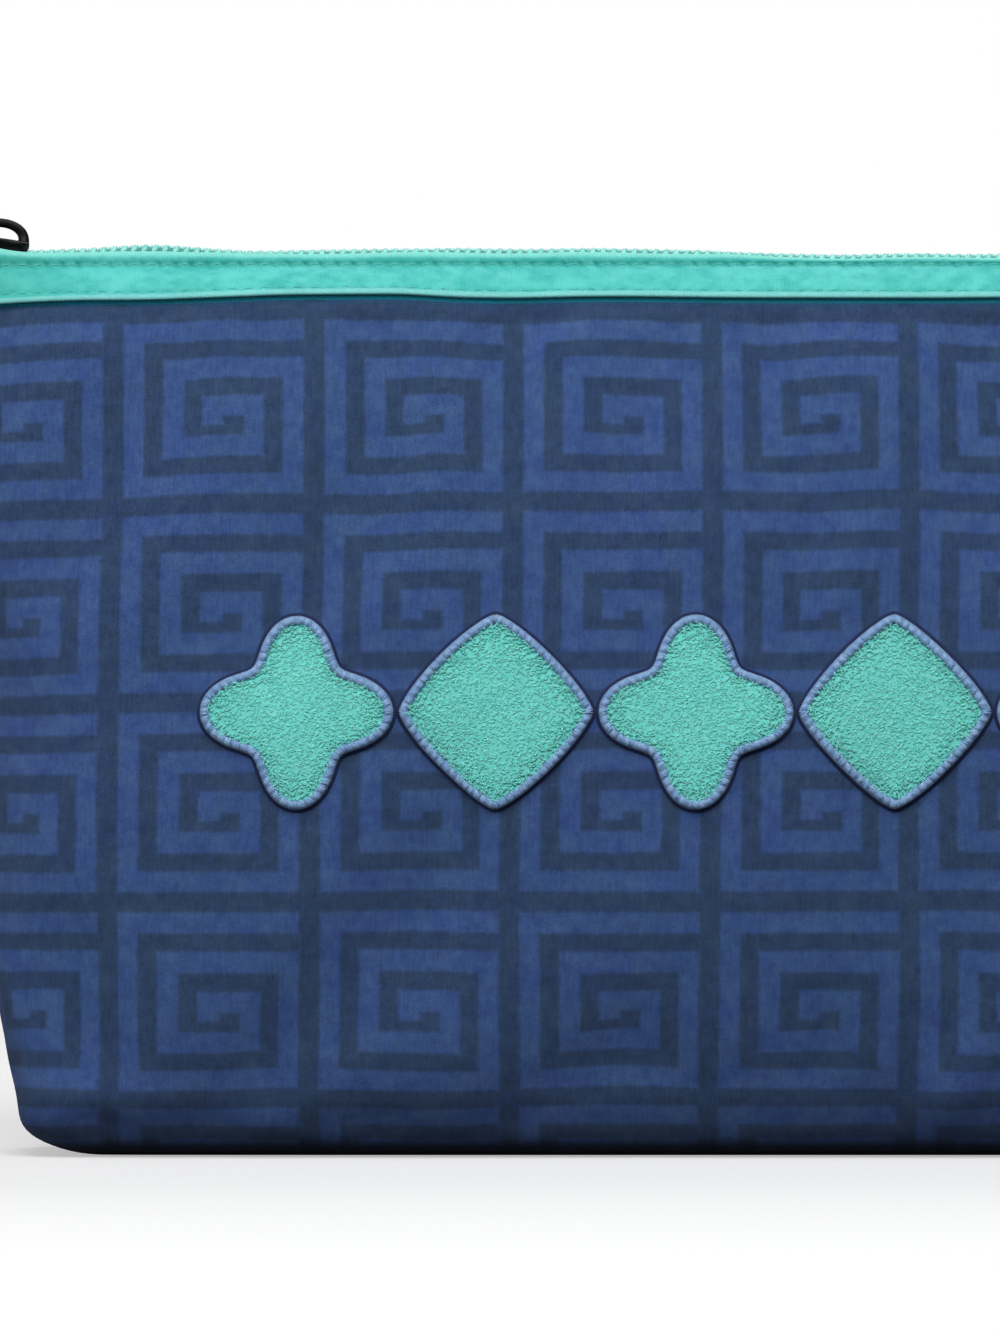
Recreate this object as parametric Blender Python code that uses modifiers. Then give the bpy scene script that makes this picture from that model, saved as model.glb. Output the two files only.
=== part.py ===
"""Zipped cloth pouch for a set of mahjong tiles, standing upright on its boxed base.

Metres, +Z up. The front faces -Y, and the origin is the middle of the base, on the floor.
"""
import math

import bmesh
import bpy
import numpy as np

# Body of the pouch, outside
PANEL_WIDTH = 0.380           # cloth from side seam to side seam
BODY_DEPTH = 0.056            # front to back, where the pouch is thickest
MOUTH_DEPTH = 0.028           # front to back, at the lower edge of the zip tape
MOUTH_SLOT = 0.0144           # front to back, between the top edges of the panels
PANEL_TOP = 0.1698            # floor to the top edges of the panels
BAND_RISE = 0.0062            # from the lower edge of the band to the panel's top edge, in the middle
WALL_SWELL = 0.001            # how far a filled wall stands out at half height
WALL_TUCK = 0.005             # how far the walls draw in below, down to the bottom edge
CORNER_TAKE_UP = 0.0068       # cloth that the folds of a boxed corner take up there
TUCK_SHARE = 0.25             # share of the height in which both fade out
EDGE_HEIGHT = 0.007           # floor to the start of the rounded bottom edge
EDGE_LEAN = math.radians(19)  # lean of the wall there
CORNER_DRAW = 0.006           # how much more the base is rounded at its boxed corners
END_ROUNDING = 0.003          # tightest turn of the cloth at the side seams
BASE_SEAM_SET = 0.001         # the base seam lies this far behind the middle
TAPER_POWER = 3               # the walls draw together towards the mouth by this power
BASE_FULLNESS = 9             # the level sections are Lamé curves, nearly square at the base
MOUTH_FULLNESS = 4
FULLNESS_FADE = 8

# Cloth
CLOTH = 0.001
LINING = 0.0004
SEAT_GAP = 0.0003             # between pieces that lie against each other
BINDING = 0.0012              # woven tape over the raw edges of the seams inside
BINDING_WIDTH = 0.008
CORNER_BINDING_SHARE = 0.4    # length of a corner's binding as a share of the depth

# Zip
TAPE = 0.0006
TAPE_SLOPE = math.hypot(BAND_RISE, (MOUTH_DEPTH - MOUTH_SLOT) / 2)  # width that is sewn down
TAPE_TAIL_SHARE = 0.5
ZIP_END_SET = 0.0024          # from the end of the mouth to the outer face of a stop
TOOTH_PITCH = 0.002
TOOTH_MESH = 0.0007           # how far a tooth reaches past the middle of the zip
TOOTH_FLARE_SHARE = 0.15      # how much wider a tooth grows along its length
BEAD_WIDTH = 0.0016
COIL_HEIGHT = 0.0023
PARTING_LENGTH = 0.007        # length over which the two rows of teeth run apart
TOP_STOP_LENGTH = 0.0014
TOP_STOP_WIDTH = 0.0012
BOTTOM_STOP_LENGTH = 0.004
STOP_WALL = 0.0005

# Slider and pull tab
SLIDER_LENGTH = 0.0139
SLIDER_SLACK = 0.0005         # room above and below the teeth
SLIDER_SIDE_ROOM = 0.0004
SLIDER_PLATE = 0.0015
SLIDER_CROWN = 0.0006
SLIDER_FLANGE = 0.0011
SLIDER_EDGE = 0.00015         # the flanges stand this far inside the edge of the plate
SLIDER_STOP_GAP = 0.0005
SLIDER_TILT = math.radians(3)
SLIDER_REAR_SHARE = 0.2       # share of its length up to where it widens towards its nose
SLIDER_WIDENING_SHARE = 0.4   # share of its length over which it widens
SLIDER_ENDS_POWER = 8         # its outline's ends are rounded by this power and this share
SLIDER_ENDS_SHARE = 0.25
FLANGE_SET_SHARE = 0.08       # share of its length that the flanges are set in from each end
DIAMOND_WIDTH = 0.0024
DIAMOND_LENGTH = 0.0052
BRIDGE_SPAN = 0.0102
BRIDGE_RISE = 0.0039
BRIDGE_BAR = 0.0016
BRIDGE_WIDTH = 0.0022
BRIDGE_ARCH_SHARE = 0.8       # power of the sine that the arch follows
OVERRUN = 0.0004              # how far joined pieces of the slider run into each other
PULL_LENGTH = 0.0240
PULL_WIDTH = 0.0074
PULL_NECK_WIDTH = 0.0056
PULL_PLATE = 0.0011
PULL_EYE = 0.0070
PULL_PIVOT_SET = 0.0015       # from the middle of the bridge to the bar of the eye
PULL_ROUNDING = 0.0003
PULL_REST = math.radians(2.4)
PULL_LENGTH_SHARES = (0.0, 0.35, 0.5, 0.93, 0.98, 1.0)
PULL_END_SHARES = (0.8, 0.45)  # of its width, at the last two of these

# Row of plain motifs on the front
MOTIF_COUNT = 7
MOTIF_PITCH = 0.0376
MOTIF_SPACING = 0.0014
MOTIF_HEIGHT = 0.0845         # floor to the middle of the row
MOTIF_CLOTH = 0.0012
MOTIF_BORDER = 0.0014
MOTIF_BORDER_CLOTH = 0.0016
MOTIF_SIDES = 24
FLOWER_SHARES = (0.82, 0.18)
DIAMOND_SHARE = 1.25

# Places of the cloth's grid lines, chosen by hand: columns from the middle of the front to the side
# seam, rows up the wall from the bottom edge to the band
COLUMN_SHARES = (0.0, 0.25, 0.48, 0.66, 0.775, 0.835, 0.875, 0.91, 0.945, 0.973, 1.0)
TAPE_COLUMN_SHARES = (0.0, 0.25, 0.48, 0.66, 0.775, 0.835, 0.875, 0.895, 0.91, 0.925, 0.945, 0.959,
                      0.973, 1.0)
CORNER_COLUMN = 6
LINING_TOP_ROW = 1            # the lining ends in the seam along the band's lower edge
WALL_SHARES = (1.0, 0.9, 0.78, 0.64, 0.48, 0.32, 0.2, 0.12, 0.06, 0.0)
EDGE_STEPS = 3
OUTLINE_STEPS = 220
HALVINGS = 34
MERGE = 0.00001

FRONT = -1
BACK = 1


def finish(name, color, roughness, metallic=0.0):
    """A plain Principled material."""
    material = bpy.data.materials.new(name)
    material.use_nodes = True
    shader = material.node_tree.nodes["Principled BSDF"]
    shader.inputs["Base Color"].default_value = (*color, 1.0)
    shader.inputs["Roughness"].default_value = roughness
    shader.inputs["Metallic"].default_value = metallic
    return material


def new_object(name, data, material, collection):
    """An object holding data, with its material, in a collection."""
    data.materials.append(material)
    piece = bpy.data.objects.new(name, data)
    collection.objects.link(piece)
    return piece


def tuck(rise):
    """How much of the lower walls' tuck is left at a height: 1 at the bottom edge, then a fade."""
    return max(1 - rise / TUCK_SHARE, 0) ** 2


def half_depth(rise):
    """Outside half depth at the middle of the pouch; rise is 0 at the bottom edge, 1 at the band."""
    taper = (BODY_DEPTH - MOUTH_DEPTH) / 2 * (1 - rise ** TAPER_POWER)
    swell = WALL_SWELL * math.sin(math.pi * rise) - WALL_TUCK * tuck(rise)
    return MOUTH_DEPTH / 2 + taper + swell


def quarter_outline(half_length, depth, fullness):
    """Quarter of a level section: a Lamé curve set out by END_ROUNDING, front middle to side seam."""
    turn = np.linspace(0, math.pi / 2, OUTLINE_STEPS)
    along = np.sin(turn) ** (2 / fullness)
    across = np.cos(turn) ** (2 / fullness)
    across[-1] = 0
    facing = np.stack([along ** (fullness - 1) / half_length, across ** (fullness - 1) / depth])
    facing /= np.linalg.norm(facing, axis=0)
    return half_length * along + END_ROUNDING * facing[0], depth * across + END_ROUNDING * facing[1]


def section(rise, shares):
    """Points of the level section at shares of the cloth from the front's middle to the side seam.

    The section's length is found by halving, so that the cloth is as wide at every height, apart
    from what the boxed corners take up.
    """
    width = PANEL_WIDTH / 2 - CORNER_TAKE_UP * tuck(rise)
    fullness = MOUTH_FULLNESS + (BASE_FULLNESS - MOUTH_FULLNESS) * (1 - rise) ** FULLNESS_FADE
    depth = half_depth(rise) - END_ROUNDING
    short, long = 0, width
    for _ in range(HALVINGS):
        x, out = quarter_outline((short + long) / 2, depth, fullness)
        lengths = np.append(0, np.cumsum(np.hypot(np.diff(x), np.diff(out))))
        if lengths[-1] > width:
            long = (short + long) / 2
        else:
            short = (short + long) / 2
    wanted = np.asarray(shares) * lengths[-1]
    return np.interp(wanted, lengths, x), np.interp(wanted, lengths, out)


def band_line(shares):
    """The lower edge of the band and the panel's top edge: x, two distances out, and the height."""
    x, out = section(1, shares)
    slot = np.minimum(out, MOUTH_SLOT / 2)
    height = PANEL_TOP - np.sqrt(TAPE_SLOPE ** 2 - (out - slot) ** 2)
    return x, out, slot, height


def skin_rows():
    """Rows of points on the outside of a quarter of the pouch, as x, distance out and height."""
    x, out, slot, band_height = band_line(COLUMN_SHARES)
    rows = [np.stack([x, slot, np.full_like(x, PANEL_TOP)], axis=1)]
    for rise in WALL_SHARES:
        x, out = section(rise, COLUMN_SHARES)
        height = EDGE_HEIGHT + (band_height - EDGE_HEIGHT) * rise
        rows.append(np.stack([x, out, height], axis=1))
    radius = EDGE_HEIGHT / (1 - math.sin(EDGE_LEAN))
    draw = radius * math.cos(EDGE_LEAN)
    for step in range(1, EDGE_STEPS + 1):
        turn = EDGE_LEAN + step / EDGE_STEPS * (math.pi / 2 - EDGE_LEAN)
        inward = 1 - math.cos(turn) / math.cos(EDGE_LEAN)
        along = 1 - (draw + CORNER_DRAW) * inward / x[-1]
        across = 1 - draw * inward / out[0]
        height = np.full_like(x, radius * (1 - math.sin(turn)))
        rows.append(np.stack([x * along, out * across, height], axis=1))
    return rows


def skin_grid(first_row=0):
    """The outside of a quarter of the pouch: points, seam shares, quads and the open border.

    The wall's grid ends in the outline of the base. The half base fills that outline: its rows end
    in the columns past the corner, as the boxed corner of the real pouch is sewn.
    """
    rows = skin_rows()[first_row:]
    columns = len(COLUMN_SHARES)
    points = [point for row in rows for point in row]
    seam_shares = [0.0] * len(points)
    wall = np.arange(len(points)).reshape(len(rows), columns)
    strips = [list(line) for line in wall]
    quads = [(a[c], a[c + 1], b[c + 1], b[c])
             for a, b in zip(strips, strips[1:]) for c in range(columns - 1)]
    outline = rows[-1]
    corner = outline[CORNER_COLUMN]
    base_rows = columns - 1 - CORNER_COLUMN
    above = list(wall[-1][:CORNER_COLUMN + 1])
    for step in range(1, base_rows + 1):
        end = CORNER_COLUMN + step
        scale = outline[end] / np.where(corner == 0, 1, corner)
        scale[2] = 0
        line = []
        for column in range(CORNER_COLUMN):
            line.append(len(points))
            points.append(outline[column] * scale)
            seam_shares.append(step / base_rows)
        seam_shares[wall[-1][end]] = step / base_rows
        line.append(wall[-1][end])
        quads += [(above[c], above[c + 1], line[c + 1], line[c]) for c in range(CORNER_COLUMN)]
        above = line
    border = list(wall[0]) + list(wall[1:, -1]) + above[-2::-1]
    return np.array(points), np.array(seam_shares), np.array(quads), border


def cloth_depths(points, quads):
    """Direction into the pouch at each point, long enough to thicken the cloth evenly."""
    corners = points[quads]
    faces = np.cross(corners[:, 2] - corners[:, 0], corners[:, 3] - corners[:, 1])
    faces /= np.linalg.norm(faces, axis=1)[:, None]
    total = np.zeros_like(points)
    for corner in range(4):
        np.add.at(total, quads[:, corner], faces)
    total[points[:, 0] < MERGE, 0] = 0
    total[points[:, 1] < MERGE, 1] = 0
    total /= np.linalg.norm(total, axis=1)[:, None]
    leaning = np.zeros(len(points))
    count = np.zeros(len(points))
    for corner in range(4):
        np.add.at(leaning, quads[:, corner], np.sum(total[quads[:, corner]] * faces, axis=1))
        np.add.at(count, quads[:, corner], 1)
    return -total * (count / leaning)[:, None]


def split(points, quads):
    """Each quad as two triangles along its shorter diagonal, so that all the layers fold alike."""
    triangles = []
    for a, b, c, d in quads:
        if np.linalg.norm(points[a] - points[c]) <= np.linalg.norm(points[b] - points[d]):
            triangles += [(a, b, c), (a, c, d)]
        else:
            triangles += [(a, b, d), (b, c, d)]
    return triangles


def mesh_object(name, points, faces, material, collection):
    """An object from points and faces."""
    mesh = bpy.data.meshes.new(name)
    mesh.from_pydata([tuple(point) for point in points], [], [tuple(map(int, f)) for f in faces])
    mesh.update()
    return new_object(name, mesh, material, collection)


def smooth(piece, angle=math.radians(50)):
    """Shade a piece smooth, with its real edges left sharp."""
    piece.data.shade_smooth()
    piece.data.set_sharp_from_angle(angle=angle)


def cloth_half(name, side, skin, near, far, material, collection):
    """Front or back half of one layer of the pouch, from depth near to depth far inside the skin."""
    points, seam_shares, quads, border = skin
    inward = cloth_depths(points, quads)
    layers = np.concatenate([points + inward * near, points + inward * far])
    pull = np.concatenate([seam_shares, seam_shares]) * BASE_SEAM_SET
    layers[:, 1] = side * (layers[:, 1] + SEAT_GAP / 2) + pull
    count = len(points)
    faces = split(points, quads)
    faces += [tuple(corner + count for corner in reversed(face)) for face in faces]
    faces += [(a + count, b + count, b, a) for a, b in zip(border, border[1:])]
    if side == FRONT:
        faces = [tuple(reversed(face)) for face in faces]
    piece = mesh_object(name, layers, faces, material, collection)
    mirror = piece.modifiers.new("other_end", "MIRROR")
    mirror.merge_threshold = MERGE
    smooth(piece)
    return piece


def panels(skin, collection):
    """Outer cloth and lining, front and back."""
    canvas = finish("printed_canvas", (0.036, 0.062, 0.150), 0.75)
    nylon = finish("lining_nylon", (0.020, 0.030, 0.070), 0.55)
    lining_skin = skin_grid(LINING_TOP_ROW)
    lining_depth = CLOTH + SEAT_GAP
    for side, word in ((FRONT, "front"), (BACK, "back")):
        cloth_half(word + "_panel", side, skin, 0, CLOTH, canvas, collection)
        cloth_half(word + "_lining", side, lining_skin, lining_depth, lining_depth + LINING, nylon,
                   collection)


def thicken(piece, thickness):
    """Give an open surface its thickness, half to each side."""
    solidify = piece.modifiers.new("thickness", "SOLIDIFY")
    solidify.thickness = thickness
    solidify.offset = 0
    solidify.use_even_offset = True


def seam_bindings(skin, collection):
    """Woven tape over the raw edges inside: both side seams, both boxed corners and the base."""
    woven = finish("seam_binding", (0.012, 0.014, 0.020), 0.8)
    points, _, quads, _ = skin
    depth = CLOTH + SEAT_GAP + LINING + SEAT_GAP
    inside = points + cloth_depths(points, quads) * depth
    columns = len(COLUMN_SHARES)
    seam = inside[columns - 1:columns * (len(WALL_SHARES) + 1 + EDGE_STEPS):columns]
    wall = seam[1:len(WALL_SHARES)]
    edge = seam[len(WALL_SHARES):]
    for end, word in ((-1, "left"), (1, "right")):
        fin = []
        for x, _, height in wall:
            fin.append((end * (x - BINDING_WIDTH), 0, height))
            fin.append((end * x, 0, height))
        steps = range(0, len(fin) - 2, 2)
        piece = mesh_object(word + "_side_binding", fin, [(s, s + 1, s + 3, s + 2) for s in steps],
                            woven, collection)
        thicken(piece, BINDING)
        strip = []
        for x, _, height in edge[1:]:
            lift = BINDING / 2
            reach = BODY_DEPTH * CORNER_BINDING_SHARE / 2
            strip.append((end * (x - lift), -reach, height + lift))
            strip.append((end * (x - lift), reach, height + lift))
        steps = range(0, len(strip) - 2, 2)
        piece = mesh_object(word + "_corner_binding", strip,
                            [(s, s + 1, s + 3, s + 2) for s in steps], woven, collection)
        thicken(piece, BINDING)
    reach = edge[-1][0] - BINDING - BINDING_WIDTH / 2
    corners = [(x, y, depth + BINDING / 2) for x, y in
               ((-reach, BASE_SEAM_SET - BINDING_WIDTH / 2), (reach, BASE_SEAM_SET - BINDING_WIDTH / 2),
                (reach, BASE_SEAM_SET + BINDING_WIDTH / 2), (-reach, BASE_SEAM_SET + BINDING_WIDTH / 2))]
    piece = mesh_object("base_binding", corners, [(0, 1, 2, 3)], woven, collection)
    thicken(piece, BINDING)


def zip_sizes():
    """Places along and across the zip, worked out from the mouth and the teeth."""
    end = float(band_line((1.0,))[0][0])
    sizes = {"end": end}
    sizes["stop_out"] = end - ZIP_END_SET
    sizes["stop_in"] = sizes["stop_out"] - TOP_STOP_LENGTH
    sizes["bottom_in"] = sizes["stop_out"] - BOTTOM_STOP_LENGTH
    sizes["nose"] = -(sizes["stop_in"] - SLIDER_STOP_GAP)
    sizes["rear"] = sizes["nose"] + SLIDER_LENGTH
    sizes["parting"] = TOOTH_MESH + SEAT_GAP + DIAMOND_WIDTH / 2
    sizes["bead_in"] = TOOTH_MESH + SEAT_GAP
    sizes["row_out"] = sizes["bead_in"] + BEAD_WIDTH
    sizes["tape_edge"] = DIAMOND_WIDTH / 2 + SLIDER_SIDE_ROOM + SEAT_GAP
    sizes["tape_level"] = PANEL_TOP + SEAT_GAP + TAPE / 2
    sizes["coil_low"] = sizes["tape_level"] + TAPE / 2 + SEAT_GAP
    sizes["coil_top"] = sizes["coil_low"] + COIL_HEIGHT
    sizes["coil_middle"] = sizes["coil_low"] + COIL_HEIGHT / 2
    return sizes


def parting(x, sizes):
    """How far one row of teeth has run away from the middle, at the closed end of the zip."""
    full = sizes["nose"] + DIAMOND_LENGTH
    share = np.clip((full + PARTING_LENGTH - x) / PARTING_LENGTH, 0, 1)
    return sizes["parting"] * share * share * (3 - 2 * share)


def zip_tape(name, side, sizes, material, collection):
    """One half of the zip's tape: sewn down the slope of the panel, then level under the teeth."""
    shares = np.array(TAPE_COLUMN_SHARES)
    x, out, slot, height = band_line(shares)
    along = np.stack([np.gradient(x), np.gradient(out)])
    along[:, 0] = (1, 0)
    along[:, -1] = (0, -1)
    along /= np.linalg.norm(along, axis=0)
    facing = np.stack([-along[1], along[0]])
    rise = (PANEL_TOP - height) / TAPE_SLOPE
    run = (out - slot) / TAPE_SLOPE
    lift = SEAT_GAP + TAPE / 2
    points = []
    for end in (-1, 1):
        low = np.stack([end * (x + lift * rise * facing[0]), out + lift * rise * facing[1],
                        height + lift * run], axis=1)
        shoulder = np.stack([end * (x + lift * rise * facing[0]), slot + lift * rise * facing[1],
                             np.full_like(x, sizes["tape_level"])], axis=1)
        reach = np.abs(shoulder[:, 0])
        inner_x = shoulder[:, 0].copy()
        inner_out = sizes["tape_edge"] + parting(shoulder[:, 0], sizes)
        closed = int(np.argmax(reach > sizes["stop_out"])) + 1
        opening_end = sizes["stop_out"] + SEAT_GAP
        inner_x[closed - 1] = end * opening_end
        inner_x[closed:] = end * (opening_end + (reach[closed:] - opening_end) * TAPE_TAIL_SHARE)
        inner_out[closed:] = 0
        inner = np.stack([inner_x, inner_out, shoulder[:, 2]], axis=1)
        strip = np.stack([low, shoulder, inner], axis=1)
        points.append(strip[:0:-1] if end < 0 else strip)
    grid = np.concatenate(points)
    grid[:, :, 1] = side * (grid[:, :, 1] + SEAT_GAP / 2)
    points = grid.reshape(-1, 3)
    quads = [(start, start + 3, start + 4, start + 1)
             for column in range(len(grid) - 1) for start in (3 * column, 3 * column + 1)]
    faces = split(points, quads)
    if side == BACK:
        faces = [tuple(reversed(face)) for face in faces]
    piece = mesh_object(name, points, faces, material, collection)
    thicken(piece, TAPE)
    smooth(piece)
    return piece


def flat_curve(name, outlines, thickness):
    """A flat outline, with holes, as a filled curve extruded to its thickness."""
    curve = bpy.data.curves.new(name, "CURVE")
    curve.dimensions = "2D"
    curve.fill_mode = "BOTH"
    curve.extrude = thickness / 2
    for outline in outlines:
        spline = curve.splines.new("POLY")
        spline.points.add(len(outline) - 1)
        for point, (x, y) in zip(spline.points, outline):
            point.co = (x, y, 0, 1)
        spline.use_cyclic_u = True
    return curve


def teeth_row(name, side, sizes, material, collection):
    """One row of teeth on its bead. Each tooth widens to its tip and holds behind its neighbours.

    The row runs along the middle of the zip and away round the slider's divider at the closed end.
    """
    left = -sizes["stop_in"] + SEAT_GAP
    right = sizes["bottom_in"] - SEAT_GAP
    offset = TOOTH_PITCH / 2 if side == BACK else 0
    count = int((right - left - TOOTH_PITCH - TOOTH_PITCH / 2) / TOOTH_PITCH)
    middle_width = TOOTH_PITCH / 2 - SEAT_GAP
    tip = middle_width + TOOTH_FLARE_SHARE * TOOTH_MESH
    root = middle_width - TOOTH_FLARE_SHARE * sizes["bead_in"]
    inner = [(left, -sizes["bead_in"])]
    for tooth in range(count):
        x = left + TOOTH_PITCH * (tooth + 1) - TOOTH_PITCH / 4 + offset
        inner += [(x - root / 2, -sizes["bead_in"]), (x - tip / 2, TOOTH_MESH),
                  (x + tip / 2, TOOTH_MESH), (x + root / 2, -sizes["bead_in"])]
    inner.append((right, -sizes["bead_in"]))
    full = sizes["nose"] + DIAMOND_LENGTH
    outer = [(right, -sizes["row_out"])]
    outer += [(full + PARTING_LENGTH * share, -sizes["row_out"]) for share in (1, 0.75, 0.5, 0.25, 0)]
    outer.append((left, -sizes["row_out"]))
    outline = [(x, y - float(parting(x, sizes))) for x, y in inner + outer]
    if side == BACK:
        outline = [(x, -y) for x, y in outline]
    piece = new_object(name, flat_curve(name, [outline], COIL_HEIGHT), material, collection)
    piece.location.z = sizes["coil_middle"]
    return piece


def stand_across(piece):
    """Turn a flat outline so that its x runs along the pouch's Y, its y up and its thickness along X."""
    piece.rotation_euler = (math.pi / 2, 0, math.pi / 2)


def stops(sizes, material, collection):
    """Clips that end the zip: one on each tape's edge where it closes, one over both where it opens."""
    under = sizes["tape_level"] - TAPE / 2 - SEAT_GAP
    over = sizes["tape_level"] + TAPE / 2 + SEAT_GAP
    length = TOP_STOP_LENGTH
    edge = sizes["tape_edge"] + sizes["parting"]
    near = edge - SEAT_GAP - STOP_WALL
    far = near + TOP_STOP_WIDTH
    clip = [(near, under - STOP_WALL), (far, under - STOP_WALL), (far, under),
            (near + STOP_WALL, under), (near + STOP_WALL, over), (far, over),
            (far, sizes["coil_top"]), (near, sizes["coil_top"])]
    for side, word in ((FRONT, "front"), (BACK, "back")):
        outline = [(side * out, height) for out, height in clip]
        piece = new_object(word + "_top_stop", flat_curve(word + "_top_stop", [outline], length),
                           material, collection)
        stand_across(piece)
        piece.location.x = -(sizes["stop_in"] + length / 2)
    web = sizes["tape_edge"] - SEAT_GAP
    wide = sizes["row_out"] + STOP_WALL
    half = [(web, over), (wide, over), (wide, sizes["coil_top"] + STOP_WALL)]
    low = [(wide, under - STOP_WALL), (wide, under), (web, under)]
    outline = low + half
    outline += [(-out, height) for out, height in reversed(outline)]
    piece = new_object("bottom_stop", flat_curve("bottom_stop", [outline], BOTTOM_STOP_LENGTH),
                       material, collection)
    stand_across(piece)
    piece.location.x = sizes["bottom_in"] + BOTTOM_STOP_LENGTH / 2


def as_mesh(piece, collection):
    """Turn a curve object into a closed mesh object in a collection of its own kind."""
    bpy.context.view_layer.update()
    graph = bpy.context.evaluated_depsgraph_get()
    mesh = bpy.data.meshes.new_from_object(piece.evaluated_get(graph))
    shape = bmesh.new()
    shape.from_mesh(mesh)
    bmesh.ops.remove_doubles(shape, verts=shape.verts, dist=MERGE / 10)
    bmesh.ops.recalc_face_normals(shape, faces=shape.faces)
    shape.to_mesh(mesh)
    shape.free()
    name = piece.name
    place = piece.matrix_world.copy()
    curve = piece.data
    bpy.data.objects.remove(piece)
    bpy.data.curves.remove(curve)
    solid = bpy.data.objects.new(name, mesh)
    solid.matrix_world = place
    collection.objects.link(solid)
    return solid


def channel_half_width(share, rear, nose):
    """Half width of the slider's channel, a smooth step from its rear (0) to its nose (1)."""
    step = min(max((share - SLIDER_REAR_SHARE) / SLIDER_WIDENING_SHARE, 0), 1)
    return rear + (nose - rear) * step * step * (3 - 2 * step)


def slider_half_width(share, rear, nose):
    """Half width along the slider from its rear (0) to its nose (1), with rounded ends."""
    ends = 1 - abs(2 * share - 1) ** SLIDER_ENDS_POWER
    return channel_half_width(share, rear, nose) * ends ** SLIDER_ENDS_SHARE


def slider_outline(rear, nose, length):
    """Closed outline of a slider plate, rear at +X."""
    shares = [(1 - math.cos(math.pi * step / 14)) / 2 for step in range(15)]
    upper = [(length / 2 - length * share, slider_half_width(share, rear, nose)) for share in shares]
    lower = [(x, -y) for x, y in reversed(upper[1:-1])]
    return upper + lower


def slider(sizes, material, collection, cutters):
    """Cast slider: two plates joined by the divider at the nose, flanges, and the bridge on top.

    It is made level about the middle of the teeth, then tilted by its slack and set at the closed end.
    """
    half = SLIDER_LENGTH / 2
    channel_rear = sizes["row_out"] + SLIDER_SIDE_ROOM
    channel_nose = channel_rear + sizes["parting"]
    rear = channel_rear + SLIDER_FLANGE
    nose = channel_nose + SLIDER_FLANGE
    roof = COIL_HEIGHT / 2 + SLIDER_SLACK
    tape_under = COIL_HEIGHT / 2 + SEAT_GAP + TAPE
    floor = -(tape_under + SLIDER_SLACK)
    under_nose = MOUTH_SLOT / 2 - CLOTH - LINING - SEAT_GAP - SLIDER_SIDE_ROOM - SLIDER_SIDE_ROOM
    under_rear = min(rear, under_nose)

    plate = new_object("slider_body", flat_curve("slider_body", [slider_outline(rear, nose, SLIDER_LENGTH)],
                                            SLIDER_PLATE), material, collection)
    plate.location.z = roof + SLIDER_PLATE / 2
    body = as_mesh(plate, collection)
    body.data.transform(body.matrix_world)
    body.location.z = 0
    for vertex in body.data.vertices:
        if vertex.co.z > roof + SLIDER_PLATE / 2:
            vertex.co.z += SLIDER_CROWN * (1 - (vertex.co.x / half) ** 2)

    joined = []

    def add(name, outline, low, high):
        piece = new_object(name, flat_curve(name, [outline], high - low), material, cutters)
        piece.location.z = (low + high) / 2
        joined.append(as_mesh(piece, cutters))

    add("slider_lower_plate", slider_outline(under_rear, under_nose, SLIDER_LENGTH),
        floor - SLIDER_PLATE, floor)
    middle = DIAMOND_LENGTH / 2 + OVERRUN - half
    divider = [(middle + DIAMOND_LENGTH / 2 * math.cos(turn), DIAMOND_WIDTH / 2 * math.sin(turn))
               for turn in (math.tau * (step + 0.5) / 12 for step in range(12))]
    add("slider_divider", divider, floor - OVERRUN, roof + OVERRUN)
    flange_low = SLIDER_SLACK - COIL_HEIGHT / 2
    shares = [FLANGE_SET_SHARE + (1 - 2 * FLANGE_SET_SHARE) * step / 10 for step in range(11)]
    for side in (FRONT, BACK):
        outer = [(half - SLIDER_LENGTH * share,
                  slider_half_width(share, rear, nose) - SLIDER_EDGE) for share in shares]
        inner = [(half - SLIDER_LENGTH * share,
                  min(slider_half_width(share, rear, nose) - SLIDER_FLANGE / 2,
                      channel_half_width(share, channel_rear, channel_nose))) for share in shares]
        outline = [(x, side * y) for x, y in outer + inner[::-1]]
        add("slider_flange", outline, flange_low, roof + OVERRUN)
    crown = roof + SLIDER_PLATE
    bridge_middle = half - OVERRUN - BRIDGE_SPAN / 2
    arch = []
    for step in range(13):
        turn = math.pi * step / 12
        arch.append((bridge_middle + BRIDGE_SPAN / 2 * math.cos(turn),
                     crown + (BRIDGE_RISE + SLIDER_CROWN) * math.sin(turn) ** BRIDGE_ARCH_SHARE))
    inside = []
    for step in range(13):
        turn = math.pi - math.pi * step / 12
        rise = (BRIDGE_RISE + SLIDER_CROWN - BRIDGE_BAR) * math.sin(turn) ** BRIDGE_ARCH_SHARE
        inside.append((bridge_middle + (BRIDGE_SPAN / 2 - BRIDGE_BAR) * math.cos(turn),
                       crown + rise))
    foot = crown - SLIDER_PLATE / 2
    outline = [(arch[0][0], foot)] + arch + [(arch[-1][0], foot), (inside[0][0], foot)] + inside
    outline.append((inside[-1][0], foot))
    bridge = new_object("slider_bridge", flat_curve("slider_bridge", [outline], BRIDGE_WIDTH),
                        material, cutters)
    bridge.rotation_euler = (math.pi / 2, 0, 0)
    joined.append(as_mesh(bridge, cutters))
    for piece in joined:
        piece.hide_render = True
        piece.display_type = "WIRE"
        union = body.modifiers.new(piece.name, "BOOLEAN")
        union.operation = "UNION"
        union.object = piece
    set_on_zip(body, joined, sizes)
    return body


def set_on_zip(body, joined, sizes):
    """Move the slider and what is joined to it to its place on the zip, tilted by its slack."""
    place = bpy.data.objects.new("slider_place", None)
    body.users_collection[0].objects.link(place)
    place.location = ((sizes["nose"] + sizes["rear"]) / 2, 0, sizes["coil_middle"])
    place.rotation_euler.y = SLIDER_TILT
    for piece in [body] + joined:
        piece.parent = place


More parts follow.
